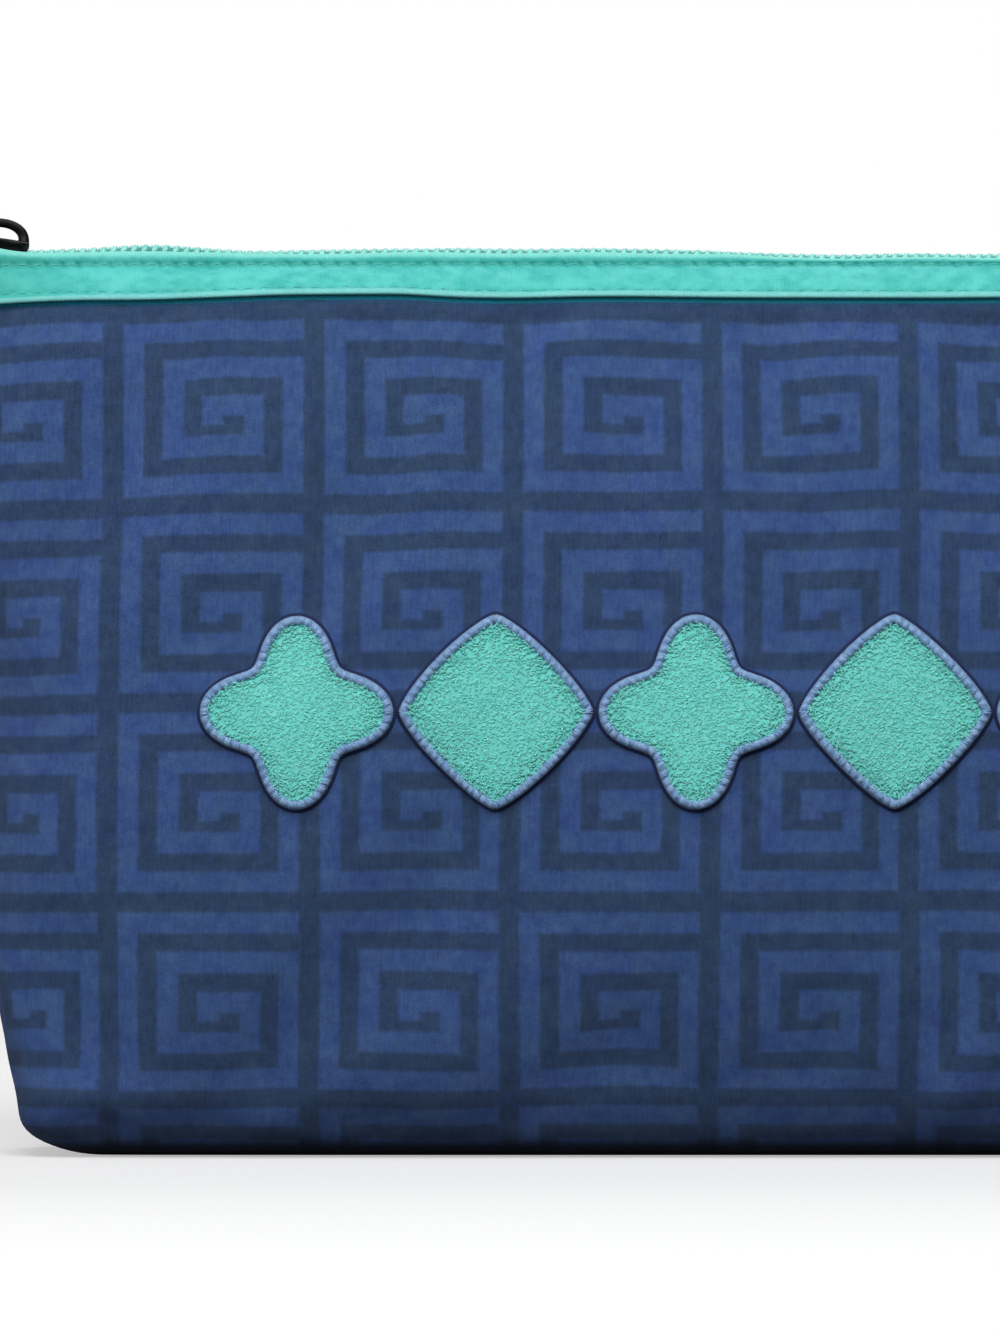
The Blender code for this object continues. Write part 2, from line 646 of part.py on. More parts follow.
def pull_tab(sizes, material, collection):
    """Flat metal tab whose eye is threaded through the bridge; its origin is the eye's bar."""
    bar = PULL_PLATE / 2
    arm = (PULL_NECK_WIDTH - BRIDGE_WIDTH - 2 * SLIDER_SIDE_ROOM) / 2
    outline = []
    widths = [PULL_NECK_WIDTH, PULL_NECK_WIDTH, PULL_WIDTH, PULL_WIDTH]
    widths += [PULL_WIDTH * share for share in PULL_END_SHARES]
    for share, width in zip(PULL_LENGTH_SHARES, widths):
        outline.append((bar - (PULL_LENGTH + bar) * share, width / 2))
    outline += [(x, -y) for x, y in reversed(outline)]
    slot = PULL_NECK_WIDTH / 2 - arm
    eye = [(-bar, slot), (-bar - PULL_EYE, slot), (-bar - PULL_EYE, -slot), (-bar, -slot)]
    piece = new_object("pull_tab", flat_curve("pull_tab", [outline, eye], PULL_PLATE), material,
                       collection)
    tab = as_mesh(piece, collection)
    bevel = tab.modifiers.new("rounding", "BEVEL")
    bevel.width = PULL_ROUNDING
    bevel.segments = 1
    bevel.limit_method = "ANGLE"
    local_x = SLIDER_LENGTH / 2 - OVERRUN - BRIDGE_SPAN / 2 - PULL_PIVOT_SET
    local_z = COIL_HEIGHT / 2 + SLIDER_SLACK + SLIDER_PLATE + SLIDER_CROWN + SEAT_GAP + PULL_PLATE / 2
    local_z += PULL_ROUNDING / 2
    cos_tilt, sin_tilt = math.cos(SLIDER_TILT), math.sin(SLIDER_TILT)
    middle = (sizes["nose"] + sizes["rear"]) / 2
    tab.location = (middle + local_x * cos_tilt + local_z * sin_tilt, 0,
                    sizes["coil_middle"] - local_x * sin_tilt + local_z * cos_tilt)
    tab.rotation_euler.y = -PULL_REST
    return tab


def zip_fastener(collection, cutters):
    """The whole zip: tapes, teeth, stops, slider and pull tab."""
    turquoise = finish("zip_tape_turquoise", (0.107, 0.610, 0.560), 0.7)
    coil = finish("coil_turquoise", (0.300, 0.760, 0.700), 0.4)
    black = finish("slider_black", (0.010, 0.010, 0.012), 0.35, 0.6)
    sizes = zip_sizes()
    for side, word in ((FRONT, "front"), (BACK, "back")):
        zip_tape(word + "_zip_tape", side, sizes, turquoise, collection)
        teeth_row(word + "_teeth", side, sizes, coil, collection)
    stops(sizes, black, collection)
    slider(sizes, black, collection, cutters)
    pull_tab(sizes, black, collection)


def wall_point(along, height):
    """Point of the front's outside, and the direction out of it, at a cloth length and a height."""
    def place(along, height):
        share = abs(along) / (PANEL_WIDTH / 2)
        band_height = band_line((share,))[3][0]
        rise = (height - EDGE_HEIGHT) / (band_height - EDGE_HEIGHT)
        x, out = section(rise, (share,))
        return np.array([math.copysign(x[0], along), -out[0] - SEAT_GAP / 2, height])

    step = MOTIF_BORDER
    here = place(along, height)
    sideways = place(along + step, height) - place(along - step, height)
    upwards = place(along, height + step) - place(along, height - step)
    facing = np.cross(sideways, upwards)
    return here, facing / np.linalg.norm(facing)


def motif_radius(number, turn):
    """Outline of a motif as radius against angle: a four-petalled flower, or a soft diamond."""
    size = (MOTIF_PITCH - MOTIF_SPACING) / 2
    if number % 2 == 0:
        return size * (FLOWER_SHARES[0] + FLOWER_SHARES[1] * math.cos(4 * turn))
    power = DIAMOND_SHARE
    return size / (abs(math.cos(turn)) ** power + abs(math.sin(turn)) ** power) ** (1 / power)


def motifs(collection):
    """A row of plain motifs of towelling cloth on the front, each with its stitched border."""
    towelling = finish("towelling_turquoise", (0.098, 0.480, 0.455), 0.9)
    stitched = finish("border_blue", (0.080, 0.200, 0.360), 0.55)
    turns = [math.tau * step / MOTIF_SIDES for step in range(MOTIF_SIDES)]
    sides = range(MOTIF_SIDES)
    for number in range(MOTIF_COUNT):
        middle = (number - (MOTIF_COUNT - 1) / 2) * MOTIF_PITCH

        def ring(inset, lift):
            points = []
            for turn in turns:
                radius = motif_radius(number, turn) - inset
                here, facing = wall_point(middle + radius * math.cos(turn),
                                          MOTIF_HEIGHT + radius * math.sin(turn))
                points.append(here + facing * lift)
            return points

        here, facing = wall_point(middle, MOTIF_HEIGHT)
        low, high = SEAT_GAP, SEAT_GAP + MOTIF_CLOTH
        inner = MOTIF_BORDER + SEAT_GAP
        points = ring(inner, low) + ring(inner, high) + [here + facing * low, here + facing * high]
        faces = []
        for a in sides:
            b = (a + 1) % MOTIF_SIDES
            faces += [(a, b, b + MOTIF_SIDES, a + MOTIF_SIDES), (b, a, 2 * MOTIF_SIDES),
                      (a + MOTIF_SIDES, b + MOTIF_SIDES, 2 * MOTIF_SIDES + 1)]
        mesh_object("motif_%d" % (number + 1), points, faces, towelling, collection)
        top = SEAT_GAP + MOTIF_BORDER_CLOTH
        points = ring(0, low) + ring(0, top) + ring(MOTIF_BORDER, top) + ring(MOTIF_BORDER, low)
        faces = []
        for a in sides:
            b = (a + 1) % MOTIF_SIDES
            for level in range(4):
                lower, upper = level * MOTIF_SIDES, (level + 1) % 4 * MOTIF_SIDES
                faces.append((a + lower, b + lower, b + upper, a + upper))
        mesh_object("motif_border_%d" % (number + 1), points, faces, stitched, collection)


def build():
    """Clear the scene and make the pouch."""
    for old in list(bpy.data.objects):
        bpy.data.objects.remove(old)
    pouch = bpy.data.collections.new("mahjong_tile_pouch")
    cutters = bpy.data.collections.new("joined_shapes")
    for collection in (pouch, cutters):
        bpy.context.scene.collection.children.link(collection)
    skin = skin_grid()
    panels(skin, pouch)
    seam_bindings(skin, pouch)
    zip_fastener(pouch, cutters)
    motifs(pouch)


build()
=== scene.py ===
"""The looks of a zipped cloth pouch for mahjong tiles: its cloth, zip, slider and motifs.

Metres, +Z up. The front faces -Y, and the origin is the middle of the base, on the floor.
"""
import math

import bpy
import numpy as np
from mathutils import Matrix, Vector


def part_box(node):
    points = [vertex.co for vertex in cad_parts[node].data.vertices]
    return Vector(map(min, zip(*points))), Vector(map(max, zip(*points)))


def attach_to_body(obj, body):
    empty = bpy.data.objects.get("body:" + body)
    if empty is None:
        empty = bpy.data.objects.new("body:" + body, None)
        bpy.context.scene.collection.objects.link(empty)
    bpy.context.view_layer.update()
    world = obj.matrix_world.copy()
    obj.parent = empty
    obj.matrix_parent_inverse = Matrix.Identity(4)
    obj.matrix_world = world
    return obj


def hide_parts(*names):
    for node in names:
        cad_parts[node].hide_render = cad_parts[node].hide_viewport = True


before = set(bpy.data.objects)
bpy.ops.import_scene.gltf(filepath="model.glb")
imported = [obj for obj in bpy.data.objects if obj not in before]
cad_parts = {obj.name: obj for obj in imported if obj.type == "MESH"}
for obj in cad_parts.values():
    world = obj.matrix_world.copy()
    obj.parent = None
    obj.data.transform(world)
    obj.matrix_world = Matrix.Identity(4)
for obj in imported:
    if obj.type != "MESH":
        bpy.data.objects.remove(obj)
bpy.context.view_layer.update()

# The camera stands level in front of the pouch, a little to the left of its middle.


def add(name, data):
    """A new object with its data, in the scene."""
    thing = bpy.data.objects.new(name, data)
    bpy.context.scene.collection.objects.link(thing)
    return thing


view = bpy.data.cameras.new("camera")
view.lens = 200
view.sensor_width = 36
view.clip_end = 20
camera = add("camera", view)
camera.location = (-0.07447, -1.4223, 0.09334)
camera.rotation_euler = (math.pi / 2, 0, 0)
bpy.context.scene.camera = camera
bpy.context.scene.view_settings.view_transform = "Standard"


# The shape of the filled pouch. Two cloth panels, each half of the front, sides and base, are sewn
# together at the side seams and under the base, and the zip's tape closes them in above. Every
# level section is a Lamé curve whose length is the cloth's width.
SIDES = ((-1, "front"), (1, "back"))
HALF = 0.190
# Half the gap between the two panels, the walls' rounding and how much of their ends is gathered.
SEAM = 0.00015
ROUNDING = 0.003
GATHERED = 0.040
# The band: its top, half the opening there, and how far it rises and leans in from the panel.
BAND_TOP = 0.1698
SLOT = 0.0072
BAND_RISE = 0.0062
BAND_DEPTH = 0.0068
TAPE_SLOPE = math.hypot(BAND_RISE, BAND_DEPTH)
# The rounded bottom edge: its height, how far it draws in, and its lean at the top. The ends turn
# under lower down, draw in farther and keep sloping.
EDGE_HEIGHT = 0.0115
EDGE_DRAW = 0.0130
EDGE_LEAN = math.radians(14)
END_HEIGHT = 0.0090
END_DRAW = 0.0140
END_SLOPE = 0.2
# The grid of a quarter: its columns, the column at the base's corner, and its rows.
COLUMNS = 120
CORNER = 105
EDGE_ROWS = 16
RISES = np.concatenate([np.linspace(1, 0.97, 15)[:-1], np.linspace(0.97, 0, 84)])
# Places along the zip and how much the sewn edge waves there, in millimetres.
EDGE_WAVE = ((-184, 1.1), (-168, 1.05), (-156, 0.86), (-151, 0.67), (-145, 0.38), (-139, 0.29),
             (-128, 0.38), (-116, 0.57), (-105, 0.48), (-93, 0.38), (-82, -0.38), (-71, -0.57),
             (-59, -0.29), (-48, -0.29), (-36, -0.48), (-25, -0.57), (-13, -0.57), (9, -0.62),
             (30, -0.4), (60, -0.5), (80, 0.1), (100, 0.4), (125, 0.3), (150, 0.6), (184, 1.1))


def smooth_step(value):
    """3 t² - 2 t³ of the value kept between 0 and 1."""
    t = np.clip(value, 0, 1)
    return t * t * (3 - 2 * t)


def spread(knots, places):
    """Matrix of cubic B-spline weights that spreads values at knots smoothly over places."""
    index = np.interp(places, knots, np.arange(len(knots)))
    t = np.abs(index[:, None] - np.arange(len(knots)))
    weights = np.where(t < 1, (4 - 6 * t ** 2 + 3 * t ** 3) / 6, np.maximum(2 - t, 0) ** 3 / 6)
    return weights / weights.sum(axis=1, keepdims=True)


def curve(table, x):
    """A smooth curve through about the table's pairs of place and height, in millimetres."""
    places, heights = np.array(table).T / 1000
    knots = np.linspace(places[0], places[-1], 90)
    return (spread(knots, np.ravel(x)) @ np.interp(knots, places, heights)).reshape(np.shape(x))


def tuck(rise):
    """Fade (1 - rise / 0.3)^1.5 of the lower walls' tuck."""
    return np.maximum(1 - rise / 0.3, 0) ** 1.5


def section(rise, shares):
    """Level section at a rise: x and distance out at shares of the cloth's half width.

    x = X sin(a)^(2/n), y = D cos(a)^(2/n), set out by 3 mm along its normal; D and n fade with
    the rise, and X is halved until the curve is as long as the cloth, which is gathered low at its
    ends, over its last 40 mm.
    """
    fullness = 4 + 5 * (1 - rise) ** 8
    depth = 0.011 + 0.014 * (1 - rise ** 4) + 0.001 * math.sin(math.pi * rise) - 0.003 * tuck(rise)
    width = HALF - 0.0051 * tuck(rise)
    turn = np.linspace(0, math.pi / 2, 400)
    along = np.sin(turn) ** (2 / fullness)
    across = np.cos(turn) ** (2 / fullness)
    across[-1] = 0
    short, long = 0, width
    for _ in range(30):
        half = (short + long) / 2
        facing = np.stack([along ** (fullness - 1) / half, across ** (fullness - 1) / depth])
        facing /= np.linalg.norm(facing, axis=0)
        x = half * along + ROUNDING * facing[0]
        out = depth * across + ROUNDING * facing[1]
        lengths = np.append(0, np.cumsum(np.hypot(np.diff(x), np.diff(out))))
        short, long = (short, half) if lengths[-1] > width else (half, long)
    wanted = np.asarray(shares) * HALF
    wanted = wanted - (HALF - lengths[-1]) * smooth_step((wanted - HALF + GATHERED) / GATHERED)
    return np.interp(wanted, lengths, x), np.interp(wanted, lengths, out)


def band_line(shares):
    """x, distance out at the band's lower edge and at its top, and the lower edge's height."""
    x, out = section(1.0, shares)
    slot = np.minimum(out, SLOT)
    return x, out, slot, BAND_TOP - np.sqrt(TAPE_SLOPE ** 2 - (out - slot) ** 2)


def quarter_skin():
    """Points of a quarter of the skin as rows x columns x 3, from the band's top to the base.

    Row 0 is the band's top, row 1 its lower edge, then the wall, then the rounded bottom edge, an
    arc z = H (1 - sin a) / (1 - sin a0) that draws in by D (1 - cos a / cos a0). The ends draw in
    there too, to E, by a smooth minimum of x and E: (x^-40 + E^-40 - X^-40)^(-1/40).
    """
    shares = np.linspace(0, 1, COLUMNS + 1)
    x, out, slot, low = band_line(shares)
    rows = [np.stack([x, slot, np.full_like(x, BAND_TOP)], axis=1)]
    for rise in RISES:
        x, out = section(rise, shares)
        rows.append(np.stack([x, out, EDGE_HEIGHT + (low - EDGE_HEIGHT) * rise], axis=1))
    for step in range(1, EDGE_ROWS + 1):
        turn = EDGE_LEAN + step / EDGE_ROWS * (math.pi / 2 - EDGE_LEAN)
        inward = 1 - math.cos(turn) / math.cos(EDGE_LEAN)
        height = EDGE_HEIGHT * (1 - math.sin(turn)) / (1 - math.sin(EDGE_LEAN))
        low = max(1 - height / END_HEIGHT, 0)
        end = (x[-1] - END_SLOPE * (EDGE_HEIGHT - height)
               - END_DRAW * (1 - (1 - low ** 3) ** 0.6))
        squeezed = end * (np.maximum(x / end, 0.1) ** -40.0 + 1 - (x[-1] / end) ** -40.0) ** -0.025
        rows.append(np.stack([np.where(x < end / 2, x, squeezed),
                              out * (1 - EDGE_DRAW * inward / out[0]),
                              np.full_like(x, height)], axis=1))
    return np.stack(rows)


def base_rows(outline):
    """Rows of the half base inside its outline: each is the outline drawn in to end on it."""
    corner = outline[CORNER]
    rows = []
    for end in range(CORNER + 1, COLUMNS + 1):
        scale = outline[end] / np.maximum(corner, 1e-9)
        rows.append(outline[:CORNER + 1] * np.array([scale[0], scale[1], 0]))
    return np.stack(rows)


wall = quarter_skin()
base = base_rows(wall[-1])
wall = np.concatenate([wall[:, :0:-1] * (-1, 1, 1), wall], axis=1)
base = np.concatenate([base[:, :0:-1] * (-1, 1, 1), base], axis=1)
across_cloth = np.linspace(-HALF, HALF, 2 * COLUMNS + 1)
up_cloth = -np.append(0, np.cumsum(np.linalg.norm(np.diff(wall[:, COLUMNS], axis=0), axis=1)))
middle_line = np.concatenate([wall[-1:, COLUMNS], base[:, CORNER]])
up_base = up_cloth[-1] - np.cumsum(np.linalg.norm(np.diff(middle_line, axis=0), axis=1))

# Folds of the cloth. The band gathers it a little, so soft folds hang from the band, and the
# filled pouch isn't quite even. Each is x, z, half width, half height and depth, in millimetres.
FOLDS = ((-150, 150, 10, 9, 0.9), (-118, 158, 7, 9, -0.9), (-126, 135, 12, 20, 0.5),
         (-86, 142, 8, 18, 0.9), (-94, 136, 6, 14, -0.8), (-76, 158, 7, 8, -0.9),
         (-60, 157, 9, 8, 0.8), (-24, 156, 7, 11, -0.9), (-10, 150, 12, 13, 1.0),
         (-2, 138, 14, 10, 0.6), (20, 155, 10, 12, -0.7), (45, 150, 12, 14, 0.8),
         (75, 157, 9, 10, -0.8), (100, 150, 12, 14, 0.8), (130, 156, 9, 11, -0.8),
         (150, 150, 11, 15, 0.7), (-160, 52, 12, 22, 0.9), (-120, 30, 30, 14, 0.6),
         (60, 45, 45, 18, 0.7), (150, 60, 18, 26, -0.8))
# The height where folds and puckers have faded out below the band, and a pucker's longest move.
BAND_FADE = 0.163
PUCKER = 0.0012


def push(points, side):
    """Outward push of the folds: a sum of depth · exp(-(dx/w)² - (dz/h)²), and slow waves."""
    x = points[..., 0] * -side
    z = points[..., 2]
    total = 0.0003 * np.sin(x * 61 + 1.0) * np.sin(z * 70 + 0.5)
    for middle, height, wide, high, depth in np.array(FOLDS) / 1000:
        total = total + depth * np.exp(-((x - middle) / wide) ** 2 - ((z - height) / high) ** 2)
    fade = smooth_step((BAND_FADE - z) / 0.009) * smooth_step((z - 0.002) / 0.016)
    return total * fade


def unit(vectors):
    """Vectors of length one."""
    return vectors / np.maximum(np.linalg.norm(vectors, axis=-1, keepdims=True), 1e-12)


def normals(grid, side):
    """Outward normals of a side's grid, whose rows go down and columns to +X."""
    facing = np.cross(np.gradient(grid, axis=0), np.gradient(grid, axis=1))
    return unit(facing) * -side


def grid_faces(rows, columns, closed=False, start=0, flip=False):
    """Quads of a grid of points stored row by row; closed joins the last column to the first."""
    row, column = np.meshgrid(np.arange(rows - 1), np.arange(columns - (not closed)), indexing="ij")
    beside = (column + 1) % columns
    quads = np.stack([row * columns + column, row * columns + beside,
                      (row + 1) * columns + beside, (row + 1) * columns + column], axis=-1)
    quads = quads.reshape(-1, 4) + start
    return quads[:, ::-1] if flip else quads


def settle(skins):
    """Simulate the cloth over the filling: the whole bag on a coarse net, held at the band.

    The net is cut 2% larger than the shape and filled with a light pressure, so that it puckers
    below the band and at the corners. Only the puckers, less than about 35 mm long, are kept, as
    moves of at most 1.2 mm spread over the fine grid.
    """
    rows = np.unique(np.concatenate([[1, 3, 8, 14], np.arange(18, len(RISES), 4),
                                     np.arange(len(RISES), wall.shape[0], 4), [wall.shape[0] - 1]]))
    columns = np.arange(0, 2 * COLUMNS + 1, 4)
    points, faces, pins = [], [], []
    for side in (-1, 1):
        start = sum(map(len, points))
        net = skins[side][rows][:, columns]
        points.append(net.reshape(-1, 3))
        faces.append(grid_faces(*net.shape[:2], start=start, flip=side < 0))
        pins += list(range(start, start + len(columns)))
    points = np.concatenate(points)
    mesh = bpy.data.meshes.new("net")
    mesh.from_pydata(points.tolist(), [], np.concatenate(faces).tolist())
    net = add("net", mesh)
    last = [side * len(rows) * len(columns) + index for side in (0, 1)
            for index in range((len(rows) - 1) * len(columns), len(rows) * len(columns))]
    ends = [index for index, point in enumerate(points) if abs(point[1]) < 0.0004]
    group = net.vertex_groups.new(name="held")
    group.add(pins + last + ends, 1.0, "REPLACE")
    cloth = net.modifiers.new("cloth", "CLOTH")
    settings = cloth.settings
    settings.quality = 8
    settings.mass = 0.25
    settings.tension_stiffness = 30
    settings.compression_stiffness = 30
    settings.shear_stiffness = 12
    settings.bending_stiffness = 0.6
    settings.air_damping = 3
    settings.shrink_min = -0.02
    settings.vertex_group_mass = "held"
    settings.use_pressure = True
    settings.uniform_pressure_force = 2.0
    settings.effector_weights.gravity = 0
    cloth.collision_settings.use_collision = False
    cloth.point_cache.frame_end = 24
    for step in range(1, 25):
        bpy.context.scene.frame_set(step)
    graph = bpy.context.evaluated_depsgraph_get()
    settled = net.evaluated_get(graph).to_mesh()
    moved = np.zeros(len(points) * 3)
    settled.vertices.foreach_get("co", moved)
    moved = moved.reshape(-1, 3) - points
    bpy.data.objects.remove(net)
    bpy.context.scene.frame_set(1)
    for number, side in enumerate((-1, 1)):
        block = moved[number * len(rows) * len(columns):][:len(rows) * len(columns)]
        block = block.reshape(len(rows), len(columns), 3)
        broad = block
        for _ in range(6):
            broad = (broad + np.roll(broad, 1, 1) + np.roll(broad, -1, 1)) / 3
            inner = (broad[:-2] + broad[1:-1] + broad[2:]) / 3
            broad = np.concatenate([broad[:1], inner, broad[-1:]])
        fine = block - broad
        size = np.linalg.norm(fine, axis=-1, keepdims=True)
        fine = fine * np.minimum(1, PUCKER / np.maximum(size, 1e-9))
        by_row = spread(up_cloth[rows][::-1], up_cloth)[:, ::-1]
        by_column = spread(across_cloth[columns], across_cloth)
        fine = np.einsum("rk,kcj->rcj", by_row, np.einsum("cm,kmj->kcj", by_column, fine))
        fade = smooth_step((BAND_FADE - skins[side][..., 2]) / 0.004)
        fade = fade * smooth_step(skins[side][..., 2] / 0.008)
        skins[side] = skins[side] + fine * fade[..., None]


skins = {}
for side, _ in SIDES:
    shape = wall * (1, side, 1)
    shape = shape + normals(shape, side) * push(shape, side)[..., None]
    below = smooth_step((shape[..., 2] - 0.130) / 0.030)
    below[0] = 0
    shape[..., 2] += curve(EDGE_WAVE, shape[..., 0] * -side) * below
    shape[..., 1] += side * SEAM
    skins[side] = shape
settle(skins)
for side, _ in SIDES:
    drop = skins[side][1:2, :, 2] - skins[side][..., 2]
    groove = 0.0003 * np.exp(-((drop - 0.0002) / 0.0014) ** 2)
    groove[:2] = 0
    skins[side] = skins[side] - normals(skins[side], side) * groove[..., None]


# Dark blue printed canvas. Its Greek key is drawn in cloth coordinates, so that it runs round the
# sides and under the base: squares of 37.7 mm, whose dark line winds inwards. KEY_BARS lists its
# bars in tenths of a square: left, right, top, bottom.
KEY_PITCH = 0.03775
KEY_BARS = (
    (-1.0, 11.0, -0.02, 1.00), (-1.0, 11.0, 9.98, 11.0), (-0.02, 1.02, -1.0, 11.0),
    (9.98, 11.0, -1.0, 11.0), (2.03, 11.0, 2.05, 2.95),
    (2.03, 2.98, 2.05, 8.95), (2.03, 8.95, 8.06, 8.96), (8.05, 8.97, 4.03, 8.96),
    (4.03, 8.97, 4.03, 4.96), (4.03, 4.97, 4.03, 6.99), (4.03, 7.05, 6.45, 6.99),
    (6.06, 7.05, 6.03, 6.99))


# How far down the cloth its face ends and its rounded edge turns under, painted dark there as shade
# beside the floor.
LOW_CLOTH = -float(np.interp(-0.0026, -wall[:, COLUMNS, 2], up_cloth))


class Wire:
    """A socket of a material. Arithmetic on it and node() add the nodes that follow it."""

    def __init__(self, tree, output):
        self.tree = tree
        self.output = output

    def node(self, kind, inputs, output=0, **settings):
        """A new shader node; inputs is a dict of socket to wire or plain value."""
        node = self.tree.nodes.new("ShaderNode" + kind)
        for name, value in settings.items():
            setattr(node, name, value)
        for socket, value in inputs.items():
            if isinstance(value, Wire):
                self.tree.links.new(value.output, node.inputs[socket])
            else:
                node.inputs[socket].default_value = value
        return Wire(self.tree, node.outputs[output])

    def math(self, operation, *others):
        """The result of a Math node on this wire and others."""
        return self.node("Math", dict(enumerate((self,) + others)), operation=operation)

    def __add__(self, other):
        return self.math("ADD", other)

    def __mul__(self, other):
        return self.math("MULTIPLY", other)

    def __sub__(self, other):
        return self.math("SUBTRACT", other)

    def __truediv__(self, other):
        return self.math("DIVIDE", other)

    __radd__ = __add__

    def ramp(self, low, high, to_low=0.0, to_high=1.0):
        """A smooth step from to_low to to_high while this wire goes from low to high."""
        return self.node("MapRange", {"Value": self, "From Min": low, "From Max": high,
                                      "To Min": to_low, "To Max": to_high},
                         interpolation_type="SMOOTHSTEP")

    def blend(self, one, other):
        """Colour one where this wire is 0 and the other where it is 1."""
        return self.node("Mix", {0: self, 6: one, 7: other}, output=2, data_type="RGBA")

    def noise(self, scale, detail=2.0, roughness=0.5):
        """Noise on this wire as the place, from 0 to 1."""
        return self.node("TexNoise", {"Vector": self, "Scale": scale, "Detail": detail,
                                      "Roughness": roughness})

    def wave(self, length):
        """The sine of this wire, one wave in a length."""
        return (self * (math.tau / length)).math("SINE")

    def stretch(self, across, up, turn=0.0):
        """This wire as a place, scaled across and up, and turned."""
        return self.node("Mapping", {"Vector": self, "Scale": (across, up, 1),
                                     "Rotation": (0, 0, turn)})

    def parts(self):
        """The first two numbers of a place."""
        node = self.tree.nodes.new("ShaderNodeSeparateXYZ")
        self.tree.links.new(self.output, node.inputs[0])
        return Wire(self.tree, node.outputs[0]), Wire(self.tree, node.outputs[1])


def colour(red, green, blue):
    """A linear colour from display values of 0 to 255."""
    values = [v / 255 for v in (red, green, blue)]
    return [v / 12.92 if v <= 0.04045 else ((v + 0.055) / 1.055) ** 2.4 for v in values] + [1.0]


def new_material(name, **constants):
    """A Principled material with constants set on it: material, shader, and two places.

    The places are the object's own, and the cloth's, in metres across and up it, from the UVs.
    """
    material = bpy.data.materials.new(name)
    material.use_nodes = True
    tree = material.node_tree
    shader = tree.nodes["Principled BSDF"]
    for socket, value in constants.items():
        shader.inputs[socket.replace("_", " ")].default_value = value
    place = Wire(tree, tree.nodes.new("ShaderNodeTexCoord").outputs["Object"])
    cloth = Wire(tree, tree.nodes.new("ShaderNodeUVMap").outputs["UV"])
    return material, shader, place, cloth


def feed(shader, **wires):
    """Link wires to a shader's sockets."""
    for socket, wire in wires.items():
        wire.tree.links.new(wire.output, shader.inputs[socket.replace("_", " ")])


def bump(height, distance, strength=1.0):
    """A bumped normal from a height wire."""
    return height.node("Bump", {"Height": height, "Distance": distance, "Strength": strength})


def canvas_material():
    """Canvas: the key's two blues with soft edges, mottled and slubbed by its plain weave; painted
    teal shade under the band and painted shade at the bottom.
    """
    material, shader, place, cloth = new_material(
        "printed_canvas", Sheen_Weight=0.10, Sheen_Roughness=0.5, Specular_IOR_Level=0.22)
    across, up = cloth.parts()
    tenth = KEY_PITCH / 10
    ragged = (cloth.noise(700, 2.0, 0.6) - 0.5) * 0.0006
    column = ((across + ragged - 0.0032 + tenth / 2) / KEY_PITCH).math("FRACT") * 10
    row = ((up * -1 + ragged - 0.0108 + tenth * 0.12) / KEY_PITCH).math("FRACT") * 10
    nearest = None
    for left, right, top, bottom in KEY_BARS:
        beside = (column - (left + right) / 2).math("ABSOLUTE") - (right - left) / 2
        above = (row - (top + bottom) / 2).math("ABSOLUTE") - (bottom - top) / 2
        bar = beside.math("MAXIMUM", above)
        nearest = bar if nearest is None else nearest.math("MINIMUM", bar)
    dark = nearest.ramp(0.13, -0.13)
    mottle = cloth.noise(1500, 3.0, 0.75)
    blotch = cloth.noise(380, 3.0, 0.65)
    streak = cloth.stretch(1900, 240).noise(1, 2.0)
    slow = place.noise(30, 3.0, 0.55)
    light = (mottle * 0.30 + blotch * 0.40 + streak * 0.30).ramp(0.34, 0.66)
    blue = light.blend(colour(48, 75, 131), colour(65, 96, 155))
    deep = light.blend(colour(36, 59, 93), colour(53, 78, 118))
    tint = cloth.noise(160, 3.0, 0.7).ramp(0.35, 0.65)
    base = dark.blend(blue, deep)
    base = (tint * 0.5).blend(base, base.node("HueSaturation", {
        "Color": base, "Hue": 0.485, "Saturation": 0.9, "Value": 1.04}))
    base = (slow.ramp(0.4, 0.65) * 0.6).blend(base, base.node("HueSaturation", {
        "Color": base, "Hue": 0.507, "Saturation": 1.0, "Value": 1.08}))
    # Painted shadow under the band's rolled edge, dark teal as if lit by light bounced off the
    # tape, and a brighter painted teal line right at the edge.
    base = ((up * -1).ramp(0.0114, 0.0098) * 0.60).blend(base, colour(10, 66, 88))
    base = (up * -1).ramp(0.0101, 0.0094).blend(base, colour(30, 160, 184))
    # Painted shade: the canvas goes nearly black where its rounded edge turns under beside the
    # floor.
    underside_shade = (up * -1).ramp(LOW_CLOTH - 0.002, LOW_CLOTH + 0.002) * 0.82
    base = underside_shade.blend(base, colour(5, 6, 14))
    weave = across.wave(0.0005) * up.wave(0.0005) * 0.45 + mottle * 1.0 + streak * 0.8 + blotch
    feed(shader, Base_Color=base, Normal=bump(weave, 0.00012, 0.8),
         Roughness=light.ramp(0, 1, 0.8, 0.92))
    return material


# The print isn't square with the panel: how far it runs aside high and low on it, in millimetres.
DRIFT_HIGH = ((-190, 0.6), (-144, 0.2), (-101, -0.4), (-72, -0.4), (-46, -0.35), (-23, -0.2),
              (3, 0.25), (40, 0.3), (190, 0.3))
DRIFT_LOW = ((-190, 0.7), (-144, 0.7), (-107, 0.5), (-69, 0.45), (-31, 0.5), (3, 0.7), (190, 0.5))


def new_mesh(name, points, faces, material, uv=None):
    """A mesh object from arrays of points and faces, smooth shaded, with one UV pair per point."""
    mesh = bpy.data.meshes.new(name)
    mesh.from_pydata(np.asarray(points).tolist(), [], [list(map(int, face)) for face in faces])
    mesh.materials.append(material)
    mesh.shade_smooth()
    if uv is not None:
        layer = mesh.uv_layers.new(name="cloth")
        corners = np.zeros(len(mesh.loops), dtype=np.int32)
        mesh.loops.foreach_get("vertex_index", corners)
        layer.data.foreach_set("uv", np.asarray(uv, dtype=np.float32)[corners].ravel())
    return add(name, mesh)


def attach(piece, slot, body, *nodes):
    """Make a piece ride on a body and stand for CAD nodes, which are hidden. The slot is not used.
    """
    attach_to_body(piece, body)
    if nodes:
        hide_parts(*nodes)


